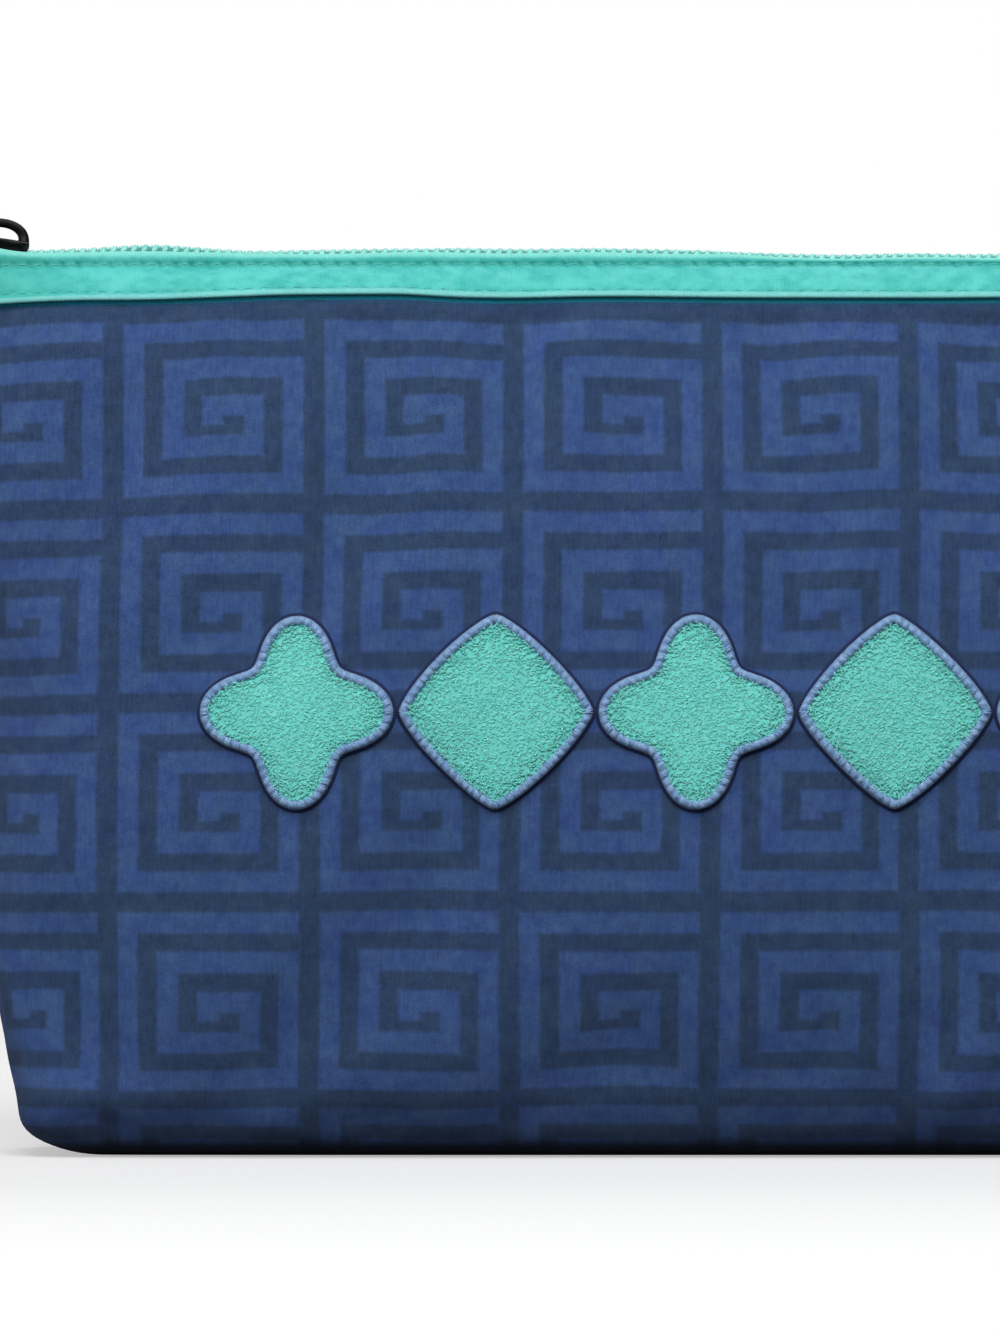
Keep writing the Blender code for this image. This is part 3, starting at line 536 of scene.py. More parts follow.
def thicken(piece, thickness):
    """Give a cloth its thickness, inwards."""
    solid = piece.modifiers.new("thickness", "SOLIDIFY")
    solid.thickness = thickness
    solid.offset = -1


# How far behind the middle the two halves of the base meet.
MEETING = 0.001


def panel(name, side, material, inset, thickness, first=0):
    """One layer of a panel, inset into the pouch: its wall, its rounded edge and half the base."""
    grid = skins[side]
    shape = (grid - normals(grid, side) * inset)[first:]
    columns = shape.shape[1]
    across = across_cloth * -side
    down = smooth_step((-0.036 - up_cloth[first:, None]) / 0.116)
    printed = across + curve(DRIFT_HIGH, across) * (1 - down) + curve(DRIFT_LOW, across) * down
    pairs = np.broadcast_arrays(printed, up_cloth[first:, None])
    points = [shape.reshape(-1, 3)]
    uv = [np.stack(pairs, axis=-1).reshape(-1, 2)]
    faces = [grid_faces(len(shape), columns, flip=side < 0)]
    last = (len(shape) - 1) * columns + np.arange(columns)
    above = last[COLUMNS - CORNER:COLUMNS + CORNER + 1]
    count = len(points[0])
    for number, row in enumerate(base):
        shift = side * SEAM + MEETING * (number + 1) / len(base)
        row = row * (1, side, 1) + (0, shift, inset)
        inner = row[1:-1]
        points.append(inner)
        uv.append(np.stack([printed[-1][COLUMNS - CORNER + 1:COLUMNS + CORNER],
                            np.full(len(inner), up_base[number])], axis=1))
        end = COLUMNS - CORNER - 1 - number
        line = np.concatenate([[last[end]], count + np.arange(len(inner)), [last[-1 - end]]])
        quads = np.stack([above[:-1], above[1:], line[1:], line[:-1]], axis=1)
        faces.append(quads[:, ::-1] if side < 0 else quads)
        count += len(inner)
        above = line
    points = np.concatenate(points)
    share = np.arange(1, COLUMNS - CORNER + 1) / (COLUMNS - CORNER) * MEETING
    points[last[COLUMNS - CORNER - 1::-1], 1] += share
    points[last[COLUMNS + CORNER + 1:], 1] += share
    piece = new_mesh(name, points, np.concatenate(faces), material, np.concatenate(uv))
    thicken(piece, thickness)
    return piece


canvas = canvas_material()
for side, word in SIDES:
    piece = panel(word + "_cloth", side, canvas, 0, 0.001)
    attach(piece, "printed_canvas", "pouch", word + "_panel")

# The lining: plain nylon, cut as the panels are, sewn in under the band and at the seams, and lying
# 0.3 mm inside the canvas.


def lining_material():
    """Plain woven nylon, dark blue, with a faint gloss."""
    material, shader, _, cloth = new_material("lining", Specular_IOR_Level=0.4)
    across, up = cloth.parts()
    ribs = across.wave(0.0003) * up.wave(0.0003)
    slub = cloth.noise(900, 2.0)
    feed(shader, Base_Color=slub.ramp(0.3, 0.7).blend(colour(30, 40, 76), colour(46, 58, 98)),
         Roughness=slub.ramp(0, 1, 0.42, 0.58), Normal=bump(ribs + slub, 0.00004, 0.5))
    return material


nylon_lining = lining_material()
for side, word in SIDES:
    piece = panel(word + "_lining_cloth", side, nylon_lining, 0.0013, 0.0004, first=3)
    attach(piece, "lining_nylon", "pouch", word + "_lining")


# Bindings of ribbed tape, folded over the raw seam edges inside: the side seams, the boxed corners
# and the seam of the base.
BINDING_THICK = 0.0012
BINDING_WIDE = 0.008


def binding_material():
    """Ribbed binding tape, nearly black blue."""
    material, shader, _, cloth = new_material("binding", Specular_IOR_Level=0.3)
    _, up = cloth.parts()
    ribs = up.wave(0.0006)
    slub = cloth.noise(1300, 2.0)
    feed(shader, Base_Color=slub.ramp(0.3, 0.7).blend(colour(24, 28, 44), colour(40, 46, 66)),
         Roughness=slub.ramp(0, 1, 0.65, 0.8), Normal=bump(ribs + slub, 0.00008, 0.6))
    return material


def xyz(x, y, z):
    """Points from their three numbers, of which some may be the same for all."""
    return np.stack(np.broadcast_arrays(x, y, z), axis=-1)


def squared(value, power):
    """A value with its size raised to a power, which squares or sharpens a round section."""
    return np.sign(value) * np.abs(value) ** power


def closed_tube(rings, sides):
    """Faces of a tube of rings, with both ends closed."""
    faces = grid_faces(rings, sides, closed=True).tolist()
    return faces + [list(range(sides))[::-1], [(rings - 1) * sides + a for a in range(sides)]]


def strip(name, node, centre, across, thick):
    """A bound edge: along its centre line, a flat oval section, wide across and thick.

    A ring is centre + w/2 · cos a |cos a|^-0.5 · across + t/2 · sin a |sin a|^-0.4 · normal.
    """
    along = unit(np.gradient(centre, axis=0))
    across = np.broadcast_to(across, centre.shape)
    normal = unit(np.cross(along, across))
    turn = np.arange(24) * math.tau / 24
    wide = squared(np.cos(turn), 0.5) / 2
    high = squared(np.sin(turn), 0.6) / 2 * thick
    points = centre[:, None] + across[:, None] * wide[:, None] + normal[:, None] * high[:, None]
    run = np.append(0, np.cumsum(np.linalg.norm(np.diff(centre, axis=0), axis=1)))
    uv = np.stack(np.broadcast_arrays(wide * BINDING_WIDE, run[:, None]), axis=-1).reshape(-1, 2)
    piece = new_mesh(name, points.reshape(-1, 3), closed_tube(len(centre), 24), binding, uv)
    attach(piece, "seam_binding", "pouch", node)


binding = binding_material()
for side, word in ((-1, "left"), (1, "right")):
    low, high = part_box(word + "_side_binding")
    z = np.linspace(low.z + 0.0005, high.z - 0.0005, 90)
    edge = np.interp(z, skins[-1][::-1, -1, 2], skins[-1][::-1, -1, 0]) - 0.0022
    strip(word + "_side_tape", word + "_side_binding",
          xyz(side * (edge - 0.004), 0, z), (BINDING_WIDE, 0, 0), BINDING_THICK)
    low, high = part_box(word + "_corner_binding")
    y = np.linspace(low.y, high.y, 40)
    inner = (low.x + high.x) / 2
    strip(word + "_corner_tape", word + "_corner_binding",
          xyz(inner, y, (low.z + high.z) / 2),
          (side * (high.x - low.x) * 0.7, 0, (high.z - low.z) * 0.8), BINDING_THICK)
low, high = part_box("base_binding")
x = np.linspace(low.x, high.x, 140)
strip("base_tape", "base_binding",
      xyz(x, (low.y + high.y) / 2, (low.z + high.z) / 2),
      (0, high.y - low.y, 0), BINDING_THICK)

# The zip's tape: turquoise woven polyester, folded over the top of each panel and stitched twice.
# It rolls at its lower edge, dips where the two rows of 3.1 mm stitches pull it down, and stands up
# in a welt along the coil, which the slider lifts at the closed end.
TAPE_COLUMNS = 1120
# The stitches' pitch, and where their two rows are up the slope.
STITCH = 0.0031
LOW_STITCHES = 0.0018
HIGH_STITCHES = 0.0090
# The zip's ends: the cloth's, the stops', and where and how fast the rows part on the left.
ZIP_END = float(band_line(np.array([1.0]))[0][0])
STOP = ZIP_END - 0.0024
TEETH_END = -0.17452
PARTING = 0.007
# Places along the zip and how much the slack coil waves there, in millimetres.
COIL_WAVE = ((-184, -0.1), (-163, -0.1), (-152, 0.29), (-146, 0.85), (-140, 1.0), (-134, 0.5),
             (-123, -0.3), (-102, 0.1), (-82, 0.3), (-71, 0.1), (-56, 0.3), (-36, -0.1),
             (-30, -0.4), (-21, -0.75), (-7, -1.0), (-1, -0.8), (4, -0.65), (16, -0.9),
             (40, -0.4), (70, 0.2), (100, -0.1), (140, 0.2), (160, 0), (184, 0))
# The tape's section: place up its slope and lift off the panel, then, for the welt, distance out
# from the panel's top edge and height, all in millimetres.
SLOPE_PROFILE = (
    (0.05, 0.32), (-0.12, 0.40), (-0.32, 0.62), (-0.38, 0.88), (-0.26, 1.12), (0.05, 1.28),
    (0.45, 1.32), (0.85, 1.22), (1.20, 1.02), (1.50, 0.84), (1.80, 0.76), (2.10, 0.82),
    (2.50, 0.93), (3.10, 1.03), (3.90, 1.10), (4.70, 1.13), (5.50, 1.12), (6.30, 1.08),
    (7.00, 1.00), (7.60, 0.90), (8.20, 0.78), (8.60, 0.70), (9.00, 0.64))
WELT_PROFILE = (
    (0.58, 170.42), (0.62, 170.75), (0.64, 171.10), (0.58, 171.45), (0.46, 171.80),
    (0.28, 172.12), (0.06, 172.36), (-0.18, 172.46), (-0.42, 172.36), (-0.60, 172.05),
    (-0.70, 171.60), (-0.74, 171.15), (-0.82, 170.86), (-1.05, 170.72))


def tubes(paths, radii, sides, up):
    """Tubes along many open paths at once, with closed ends: points and faces.

    paths is tubes x steps x 3. A ring at p is p + r (cos a · u + sin a · v), with v across the
    path and up, and u across both.
    """
    count, steps, _ = paths.shape
    forward = unit(np.gradient(paths, axis=1))
    across = unit(np.cross(forward, np.broadcast_to(up, paths.shape)))
    over = np.cross(across, forward)
    turn = np.arange(sides) * math.tau / sides
    ring = across[:, :, None] * np.cos(turn)[:, None] + over[:, :, None] * np.sin(turn)[:, None]
    points = paths[:, :, None] + ring * np.asarray(radii)[..., None, None]
    one = grid_faces(steps, sides, closed=True, flip=True)
    starts = np.arange(count)[:, None, None] * steps * sides
    faces = (one[None] + starts).reshape(-1, 4).tolist()
    ends = np.arange(sides)
    for tube in range(count):
        first = tube * steps * sides
        faces.append((ends + first).tolist())
        faces.append((ends[::-1] + first + (steps - 1) * sides).tolist())
    return points.reshape(-1, 3), faces


def parting(x):
    """How far one row has run away from the middle at the closed end: a smooth step of 2.2 mm."""
    return 0.0022 * smooth_step((TEETH_END + PARTING - x) / PARTING)


def tape(side):
    """Grid of one half of the tape: slope, welt and the level part under the coil; and its UVs."""
    shares = np.linspace(-1, 1, TAPE_COLUMNS)
    x, out, slot, low = band_line(np.abs(shares))
    x = x * np.sign(shares)
    length = shares * HALF
    facing = unit(np.stack([-np.gradient(out), np.gradient(x)], axis=1))
    rise = (BAND_TOP - low) / TAPE_SLOPE
    run = (out - slot) / TAPE_SLOPE
    pull = 0.5 + 0.5 * np.cos(length / STITCH * math.tau)
    edge = curve(EDGE_WAVE, x * -side)
    welt = (0.55 * curve(COIL_WAVE, x) + 0.00012 * np.sin(x * 190)
            + 0.0023 * np.exp(-((x + 0.1775) / 0.0085) ** 2)
            - 0.00022 - 0.0004 * smooth_step((x + 0.032) / 0.012))
    rows = []
    height = []
    for q, lift in np.array(SLOPE_PROFILE) / 1000:
        near = (np.exp(-((q - LOW_STITCHES) / 0.00045) ** 2)
                + np.exp(-((q - HIGH_STITCHES) / 0.00055) ** 2))
        body = math.sin(math.pi * min(max(q / TAPE_SLOPE, 0), 1))
        pucker = (0.00011 * np.sin((length + 0.6 * q) / STITCH * math.tau)
                  * (0.6 + 0.4 * np.sin(length * 310 + side))
                  + 0.00009 * np.sin(length * 830 - q * 900 + 2 * np.sin(length * 97)))
        depth = lift - near * 0.00022 * pull + pucker * body
        share = q / TAPE_SLOPE
        rows.append(xyz(x + facing[:, 0] * rise * depth,
                           out + (slot - out) * share + facing[:, 1] * rise * depth,
                           low + (BAND_TOP - low) * share + run * depth
                           + edge * (1 - smooth_step(share))))
        height.append(q)
    inner = np.minimum(np.where(np.abs(x) > STOP + 0.0003, 0.00002, 0.0019 + parting(x)), slot)
    narrow = slot / SLOT
    for number, (beyond, level) in enumerate(np.array(WELT_PROFILE) / 1000):
        up = (level - 0.1704) / 0.0021
        ripple = 0.00005 * np.sin(length / STITCH * math.tau + 0.5) * math.sin(math.pi * min(up, 1))
        rows.append(xyz(x + facing[:, 0] * rise * max(beyond, 0),
                           slot + narrow * beyond + ripple, level + welt * up))
        height.append(0.0093 + 0.00035 * number)
    edge_out = rows[-1][:, 1]
    for share, level in ((0.1, 170.68), (0.3, 170.66), (0.6, 170.66), (0.9, 170.66),
                         (1.0, 170.52), (1.0, 170.25)):
        rows.append(xyz(x, edge_out + (inner - edge_out) * share, level / 1000))
        height.append(0.0142 + 0.0045 * share)
    grid = np.stack(rows)
    grid[..., 1] = side * (grid[..., 1] + SEAM)
    uv = np.stack(np.broadcast_arrays(length[None], np.array(height)[:, None]), axis=-1)
    return grid, uv.reshape(-1, 2)


def tape_material():
    """Woven tape: fine ribs and soft diagonal slubs; painted shade in its stitched dips, needle
    holes and ends, and painted highlights on its rolled edge and welt.
    """
    material, shader, _, cloth = new_material(
        "zip_tape", Roughness=0.62, Sheen_Weight=0.35, Sheen_Roughness=0.4,
        Specular_IOR_Level=0.35)
    across, up = cloth.parts()
    slub = cloth.stretch(300, 420, 0.55).noise(1, 3.0, 0.55)
    patch = cloth.stretch(80, 150, 0.3).noise(1, 2.0, 0.5)
    fine = cloth.noise(2400, 2.0, 0.6)
    wander = (cloth.stretch(260, 90).noise(1, 2.0) - 0.5) * 0.0012
    uneven = cloth.stretch(130, 10).noise(1, 2.0).ramp(0.3, 0.7, 0.25, 1.0)
    # Masks of painted shade: the dips along the two rows of stitches, and their needle holes.
    low_dip_shade = (up - LOW_STITCHES + wander * 0.3).math("ABSOLUTE").ramp(0.0008, 0.0)
    high_dip_shade = (up - HIGH_STITCHES + wander * 0.4).math("ABSOLUTE").ramp(0.0014, 0.0002)
    hole_shade = ((across + (up - HIGH_STITCHES) * 0.7 + wander) * (math.tau / STITCH)).math("COSINE")
    hole_shade = hole_shade.ramp(0.1, 1.0) * uneven
    tone = (slub * 0.6 + patch * 0.4).ramp(0.32, 0.66).blend(
        colour(60, 192, 184), colour(97, 218, 210))
    # Painted shade: the tape darkens towards both ends, where it turns round the sides.
    tone = (across.math("ABSOLUTE").ramp(0.150, 0.180) * 0.7).blend(tone, colour(52, 172, 158))
    tone = (low_dip_shade * (0.45 + hole_shade * 0.55) * 0.50).blend(tone, colour(52, 166, 158))
    tone = (high_dip_shade * (0.42 + hole_shade * 0.58) * 0.85).blend(tone, colour(20, 142, 130))
    # Painted highlight: the rolled lower edge is paler, as if it caught the light from above.
    tone = (up.ramp(0.0009, 0.0002) * 0.60).blend(tone, colour(150, 226, 226))
    # Painted highlight along the top of the welt, which faces the light.
    tone = (up.ramp(0.0101, 0.0109) * 0.75).blend(tone, colour(146, 240, 226))
    ribs = across.wave(0.0005) * 0.4 + fine + slub * 2.0
    feed(shader, Base_Color=tone, Normal=bump(ribs, 0.0001, 0.6))
    return material


def mottled_material(name, scale, one, other, **constants):
    """A material of two close colours, mixed by noise of a scale."""
    material, shader, place, _ = new_material(name, **constants)
    mix = place.noise(scale, 2.0).ramp(0.3, 0.7)
    feed(shader, Base_Color=mix.blend(colour(*one), colour(*other)))
    return material


turquoise = tape_material()
sewing = mottled_material("topstitch", 1500, (64, 182, 172), (92, 206, 196), Roughness=0.5,
                          Sheen_Weight=0.3)
for side, word in SIDES:
    grid, uv = tape(side)
    rows, columns = grid.shape[:2]
    piece = new_mesh(word + "_tape", grid.reshape(-1, 3),
                     grid_faces(rows, columns, flip=side > 0), turquoise, uv)
    thicken(piece, 0.00022)
    attach(piece, "zip_tape_turquoise", "pouch", word + "_zip_tape")
    shares = np.linspace(-HALF, HALF, columns)
    for line, place_up in (("low", LOW_STITCHES), ("high", HIGH_STITCHES)):
        row = int(np.argmin(np.abs(uv.reshape(rows, columns, 2)[:, 0, 1] - place_up)))
        count = int(2 * (HALF - 0.006) / STITCH)
        starts = (np.arange(count) - count / 2 + 0.18) * STITCH
        along = starts[:, None] + np.linspace(0, 0.0020, 7)
        path = np.stack([np.interp(along, shares, values) for values in grid[row].T], axis=-1)
        arch = np.sin(np.linspace(0, math.pi, 7)) ** 0.5 * 0.00022 - 0.00012
        path[..., 1] += side * arch * 0.7
        path[..., 2] += arch * 0.7
        points, faces = tubes(path, np.full(path.shape[:2], 0.00011), 6, (0, 0.3, 1.0))
        piece = new_mesh("%s_%s_topstitch" % (word, line), points, faces, sewing)
        attach(piece, "zip_tape_turquoise", "pouch")

# The zip's teeth: each row is one nylon filament wound in flat loops, 2 mm apart, over a cord
# coloured dark teal as painted shade in the gaps between the loops, and the two rows' loops reach
# past the middle and hold behind each other. The back row starts half a pitch later.
LOOP_PITCH = 0.002
FIRST_LOOP = -0.1788
LAST_LOOP = 0.1762
CORD_RADIUS = 0.00070


def cord_material():
    """The cord in the coil, coloured dark teal as painted shade seen in the gaps between the loops.
    """
    material, shader, place, _ = new_material("coil_cord_shade", Roughness=0.8)
    tone = place.noise(1500, 2.0).blend(colour(70, 142, 136), colour(94, 166, 158))
    feed(shader, Base_Color=tone)
    return material


def coil(side):
    """Paths and radii of the loops, from the locked head round the back of the row.

    With turn a: y = 0.98 + 1.35 cos a |cos a|^-0.3, z = 172.12 + 0.77 sin a |sin a|^-0.2, in
    millimetres, and x sways by 0.42 sin a.
    """
    turn = np.linspace(-math.pi, math.pi, 17)
    starts = FIRST_LOOP + (LOOP_PITCH / 2 if side > 0 else 0) + np.arange(177) * LOOP_PITCH
    starts = starts[starts < LAST_LOOP]
    x = starts[:, None] + 0.00042 * np.sin(turn)
    y = 0.00098 + 0.00135 * squared(np.cos(turn), 0.7)
    z = 0.17212 + 0.00077 * squared(np.sin(turn), 0.8)
    paths = xyz(x, side * (y + parting(x)), z + curve(COIL_WAVE, x))
    radii = np.broadcast_to(0.00040 + 0.00022 * np.exp(-(turn / 1.9) ** 2), x.shape)
    return paths, radii


def add_material(piece, material, first):
    """Give a piece a second material, on its faces from a first one on."""
    piece.data.materials.append(material)
    second = (np.arange(len(piece.data.polygons)) >= first).astype(np.int32)
    piece.data.polygons.foreach_set("material_index", second)


nylon = mottled_material("coil", 700, (132, 220, 210), (168, 240, 232), Roughness=0.38)
# The cord's dark teal is painted shade between the coil's loops.
cord_shade = cord_material()
for side, word in SIDES:
    points, faces = tubes(*coil(side), 8, (0.2, 0.1, 1.0))
    run = np.linspace(-0.1790, 0.1764, 360)
    path = xyz(run, side * (0.00190 + parting(run)), 0.17208 + curve(COIL_WAVE, run))
    cord_points, cord_faces = tubes(path[None], np.full((1, len(run)), CORD_RADIUS), 10, (0, 0, 1))
    cord_faces = [[corner + len(points) for corner in face] for face in cord_faces]
    points = np.concatenate([points, cord_points])
    piece = new_mesh(word + "_coil", points, faces + cord_faces, nylon)
    add_material(piece, cord_shade, len(faces))
    attach(piece, "coil_turquoise", "pouch", word + "_teeth")

# Seven motifs in a row, flowers of four petals and soft diamonds in turn: looped towelling inside a
# raised border of satin stitches over a cord, sewn to the front over a backing cloth, which is dark
# navy as painted shade round each motif. LOOPS are the towelling's for each motif, and bunches are
# stitches that lean together.
MOTIF_RADIUS = 0.0181
MOTIF_MIDDLE = 0.0845
MOTIF_PITCH = 0.0376
LOOPS = 2800
SATIN_PITCH = 0.00025
BUNCH_PITCH = 0.0016
rng = np.random.default_rng(11)
front_facing = normals(skins[-1], -1)


def on_cloth(along, height, lift):
    """Points over the front at cloth lengths from its middle and heights, lifted off it.

    The panel's grid is read between its nearest four points.
    """
    along, height, lift = np.broadcast_arrays(along, height, lift)
    grid = skins[-1]
    column = (along / HALF + 1) * COLUMNS
    low = band_line(np.abs(along).ravel() / HALF)[3].reshape(along.shape)
    rise = (height - EDGE_HEIGHT) / (low - EDGE_HEIGHT)
    row = 1 + np.interp(rise, RISES[::-1], np.arange(len(RISES))[::-1])
    c = np.clip(column.astype(int), 0, grid.shape[1] - 2)
    r = np.clip(row.astype(int), 0, grid.shape[0] - 2)
    fc, fr = (column - c)[..., None], (row - r)[..., None]

    def read(values):
        return ((values[r, c] * (1 - fc) + values[r, c + 1] * fc) * (1 - fr)
                + (values[r + 1, c] * (1 - fc) + values[r + 1, c + 1] * fc) * fr)

    return read(grid) + unit(read(front_facing)) * lift[..., None]



def outline_radius(number, turn):
    """Flower: R (0.82 + 0.18 cos 4a). Diamond: R / (|cos a|^1.25 + |sin a|^1.25)^0.8."""
    if number % 2 == 0:
        return MOTIF_RADIUS * (0.82 + 0.18 * np.cos(4 * turn))
    return MOTIF_RADIUS / (np.abs(np.cos(turn)) ** 1.25 + np.abs(np.sin(turn)) ** 1.25) ** 0.8


def towelling_material():
    """Looped towelling: soft cotton in close shades of turquoise."""
    material, shader, place, _ = new_material(
        "towelling", Roughness=0.9, Sheen_Weight=0.6, Sheen_Roughness=0.5,
        Specular_IOR_Level=0.15)
    fine = place.noise(1700, 2.0, 0.6).ramp(0.3, 0.7)
    slow = place.noise(240, 2.0, 0.5).ramp(0.3, 0.7)
    tone = fine.blend(colour(102, 216, 204), colour(136, 238, 228))
    tone = (slow * 0.4).blend(tone, colour(108, 222, 216))
    feed(shader, Base_Color=tone)
    return material


def backing_material():
    """Backing cloth, navy felt coloured dark as painted shade round the border."""
    material, shader, place, _ = new_material("shade_backing", Roughness=0.95)
    feed(shader, Base_Color=place.noise(1800, 2.0).blend(colour(20, 34, 72), colour(32, 48, 92)))
    return material


def towelling(number):
    """Points and faces of one motif's cloth: a domed disc of nested outlines and its loops."""
    middle = (number - 3) * MOTIF_PITCH
    turn = np.linspace(0, math.tau, 120, endpoint=False)
    shares = np.array([0, 0.08, 0.16, 0.24, 0.32, 0.4, 0.48, 0.56, 0.64, 0.72, 0.8, 0.87, 0.93,
                       0.97, 1])
    reach = (outline_radius(number, turn) - 0.0006)[None] * shares[:, None]
    dome = 0.0012 - 0.0006 * shares[:, None] ** 8 + 0 * reach
    dome[-1] = 0.0001
    points = on_cloth(middle + reach * np.cos(turn), MOTIF_MIDDLE + reach * np.sin(turn), dome)
    rows, columns = reach.shape
    faces = grid_faces(rows, columns, closed=True, flip=True).tolist()
    size = np.sqrt(rng.random(LOOPS * 2))
    angle = rng.random(LOOPS * 2) * math.tau
    spot = size * MOTIF_RADIUS * np.stack([np.cos(angle), np.sin(angle)])
    spot = spot[:, np.hypot(*spot) < outline_radius(number, angle) - 0.0012][:, :LOOPS]
    count = spot.shape[1]
    lean = rng.random(count) * math.tau
    half = np.linspace(-1, 1, 4)
    wide = 0.00022 + 0.00010 * rng.random(count)
    x = middle + spot[0][:, None] + wide[:, None] * half * np.cos(lean)[:, None]
    z = MOTIF_MIDDLE + spot[1][:, None] + wide[:, None] * half * np.sin(lean)[:, None]
    high = (0.00004 + 0.00008 * rng.random(count))[:, None] * np.sqrt(np.maximum(1 - half ** 2, 0))
    paths = on_cloth(x, z, 0.00116 + high)
    radii = np.broadcast_to(0.00012 + 0.00003 * rng.random((count, 1)), x.shape)
    loop_points, loop_faces = tubes(paths, radii, 4, (0.13, -1.0, 0.07))
    start = rows * columns
    faces += [[corner + start for corner in face] for face in loop_faces]
    return np.concatenate([points.reshape(-1, 3), loop_points]), faces


def border(number):
    """Points and faces of a motif's border, and how many faces are thread.

    Satin stitches, 0.25 mm apart, arch over a cord laid along the outline, at a height
    0.22 + 1.2 |sin a|^0.75 mm. They lean together in bunches 1.6 mm apart, and a backing cloth,
    dark as painted shade round the border, reaches 0.7 mm beyond them.
    """
    middle = (number - 3) * MOTIF_PITCH
    fine = np.linspace(0, math.tau, 4001)
    radius = outline_radius(number, fine) - 0.0007
    x, z = radius * np.cos(fine), radius * np.sin(fine)
    run = np.append(0, np.cumsum(np.hypot(np.diff(x), np.diff(z))))
    count = int(run[-1] / SATIN_PITCH)
    here = (np.arange(count) + 0.5) / count * run[-1]
    bunches = round(run[-1] / BUNCH_PITCH)
    x = np.interp(here, run, x)
    z = np.interp(here, run, z)
    out = np.stack([np.roll(z, -1) - np.roll(z, 1), np.roll(x, 1) - np.roll(x, -1)])
    out /= np.linalg.norm(out, axis=0)
    along = np.stack([-out[1], out[0]])
    phase = here / run[-1] * bunches * math.tau
    turn = np.linspace(0.05, math.pi - 0.05, 9)
    across = -0.00082 * np.cos(turn)
    inner = np.clip(-across / 0.0008, 0, 1)
    slant = across * 0.17 + inner * 0.00026 * np.sin(phase)[:, None]
    thick = 1 + 0.14 * np.cos(phase)[:, None] + 0.05 * rng.normal(size=(count, 1))
    px = middle + x[:, None] + out[0][:, None] * across + along[0][:, None] * slant
    pz = MOTIF_MIDDLE + z[:, None] + out[1][:, None] * across + along[1][:, None] * slant
    paths = on_cloth(px, pz, 0.00022 + 0.00120 * np.sin(turn) ** 0.75 * thick)
    points, faces = tubes(paths, np.full(px.shape, 0.000155), 4, (0.11, -1.0, 0.05))

    def ring(reach, lift):
        """Points round the border at distances from its middle line, and at lifts."""
        return on_cloth(middle + x[:, None] + out[0][:, None] * reach,
                        MOTIF_MIDDLE + z[:, None] + out[1][:, None] * reach, lift).reshape(-1, 3)

    turn = np.linspace(0, math.pi, 7)
    cord = ring(-0.00076 * np.cos(turn), 0.0001 + 0.00122 * np.sin(turn) ** 0.8)
    shade_backing = ring(np.array([0.0005, 0.0010, 0.0014, 0.0015, 0.0015]),
                   np.array([0.00030, 0.00024, 0.00018, 0.00008, -0.0001]))
    for part, columns in ((cord, 7), (shade_backing, 5)):
        quads = grid_faces(count + 1, columns, flip=True) % (count * columns) + len(points)
        threads = len(faces)
        faces = faces + quads.tolist()
        points = np.concatenate([points, part])
    return points, faces, threads


terry = towelling_material()
thread = mottled_material("border_thread", 700, (124, 166, 214), (156, 194, 234),
                          Roughness=0.45, Sheen_Weight=0.4, Sheen_Roughness=0.4)
# The backing's dark navy is painted shade round each motif's border.
shade_felt = backing_material()
for number in range(7):
    points, faces = towelling(number)
    piece = new_mesh("towelling_%d" % (number + 1), points, faces, terry)
    attach(piece, "towelling_turquoise", "pouch", "motif_%d" % (number + 1))
    points, faces, threads = border(number)
    piece = new_mesh("satin_border_%d" % (number + 1), points, faces, thread)
    add_material(piece, shade_felt, threads)
    attach(piece, "border_blue", "pouch", "motif_border_%d" % (number + 1))

# The slider and its pull tab are cast metal under black enamel, with soft edges. Each is built of
# rounded bars and plates that are fused on a fine grid. The stops are stamped clips, as packed, in
# the same enamel.


def enamel_material():
    """Black enamel with a clear gloss and faint wear."""
    material, shader, place, _ = new_material(
        "black_enamel", Coat_Weight=0.06, Coat_Roughness=0.25, Specular_IOR_Level=0.16)
    wear = place.noise(900, 3.0).ramp(0.35, 0.75)
    feed(shader, Base_Color=wear.blend(colour(6, 6, 7), colour(14, 14, 16)),
         Roughness=wear.ramp(0, 1, 0.42, 0.58), Normal=bump(wear, 0.00002, 0.3))
    return material


def bar(path, widths, heights, across, power=0.45):
    """A rounded bar along a path: ring = p + w/2 C(a) · across + h/2 S(a) · normal.

    C and S are cos a and sin a with their sizes raised to a power, which squares the section.
    """
    along = unit(np.gradient(path, axis=0))
    across = np.broadcast_to(np.asarray(across, float), path.shape)
    normal = unit(np.cross(along, across))
    turn = (np.arange(28) + 0.5) * math.tau / 28
    wide = squared(np.cos(turn), power) / 2
    high = squared(np.sin(turn), power) / 2
    points = (path[:, None] + across[:, None] * wide[:, None] * np.reshape(widths, (-1, 1, 1))
              + normal[:, None] * high[:, None] * np.reshape(heights, (-1, 1, 1)))
    return points.reshape(-1, 3), closed_tube(len(path), 28)


def cast(name, bars):
    """One casting of many bars, fused on a fine grid and then softened."""
    points, faces, count = [], [], 0
    for bar_points, bar_faces in bars:
        points.append(bar_points)
        faces += [[corner + count for corner in face] for face in bar_faces]
        count += len(bar_points)
    piece = new_mesh(name, np.concatenate(points), faces, enamel)
    fuse = piece.modifiers.new("fuse", "REMESH")
    fuse.mode = "VOXEL"
    fuse.voxel_size = GRAIN
    fuse.use_smooth_shade = True
    soften = piece.modifiers.new("soften", "SMOOTH")
    soften.factor = 0.5
    soften.iterations = 3
    graph = bpy.context.evaluated_depsgraph_get()
    mesh = bpy.data.meshes.new_from_object(piece.evaluated_get(graph))
    piece.modifiers.clear()
    piece.data = mesh
    return piece


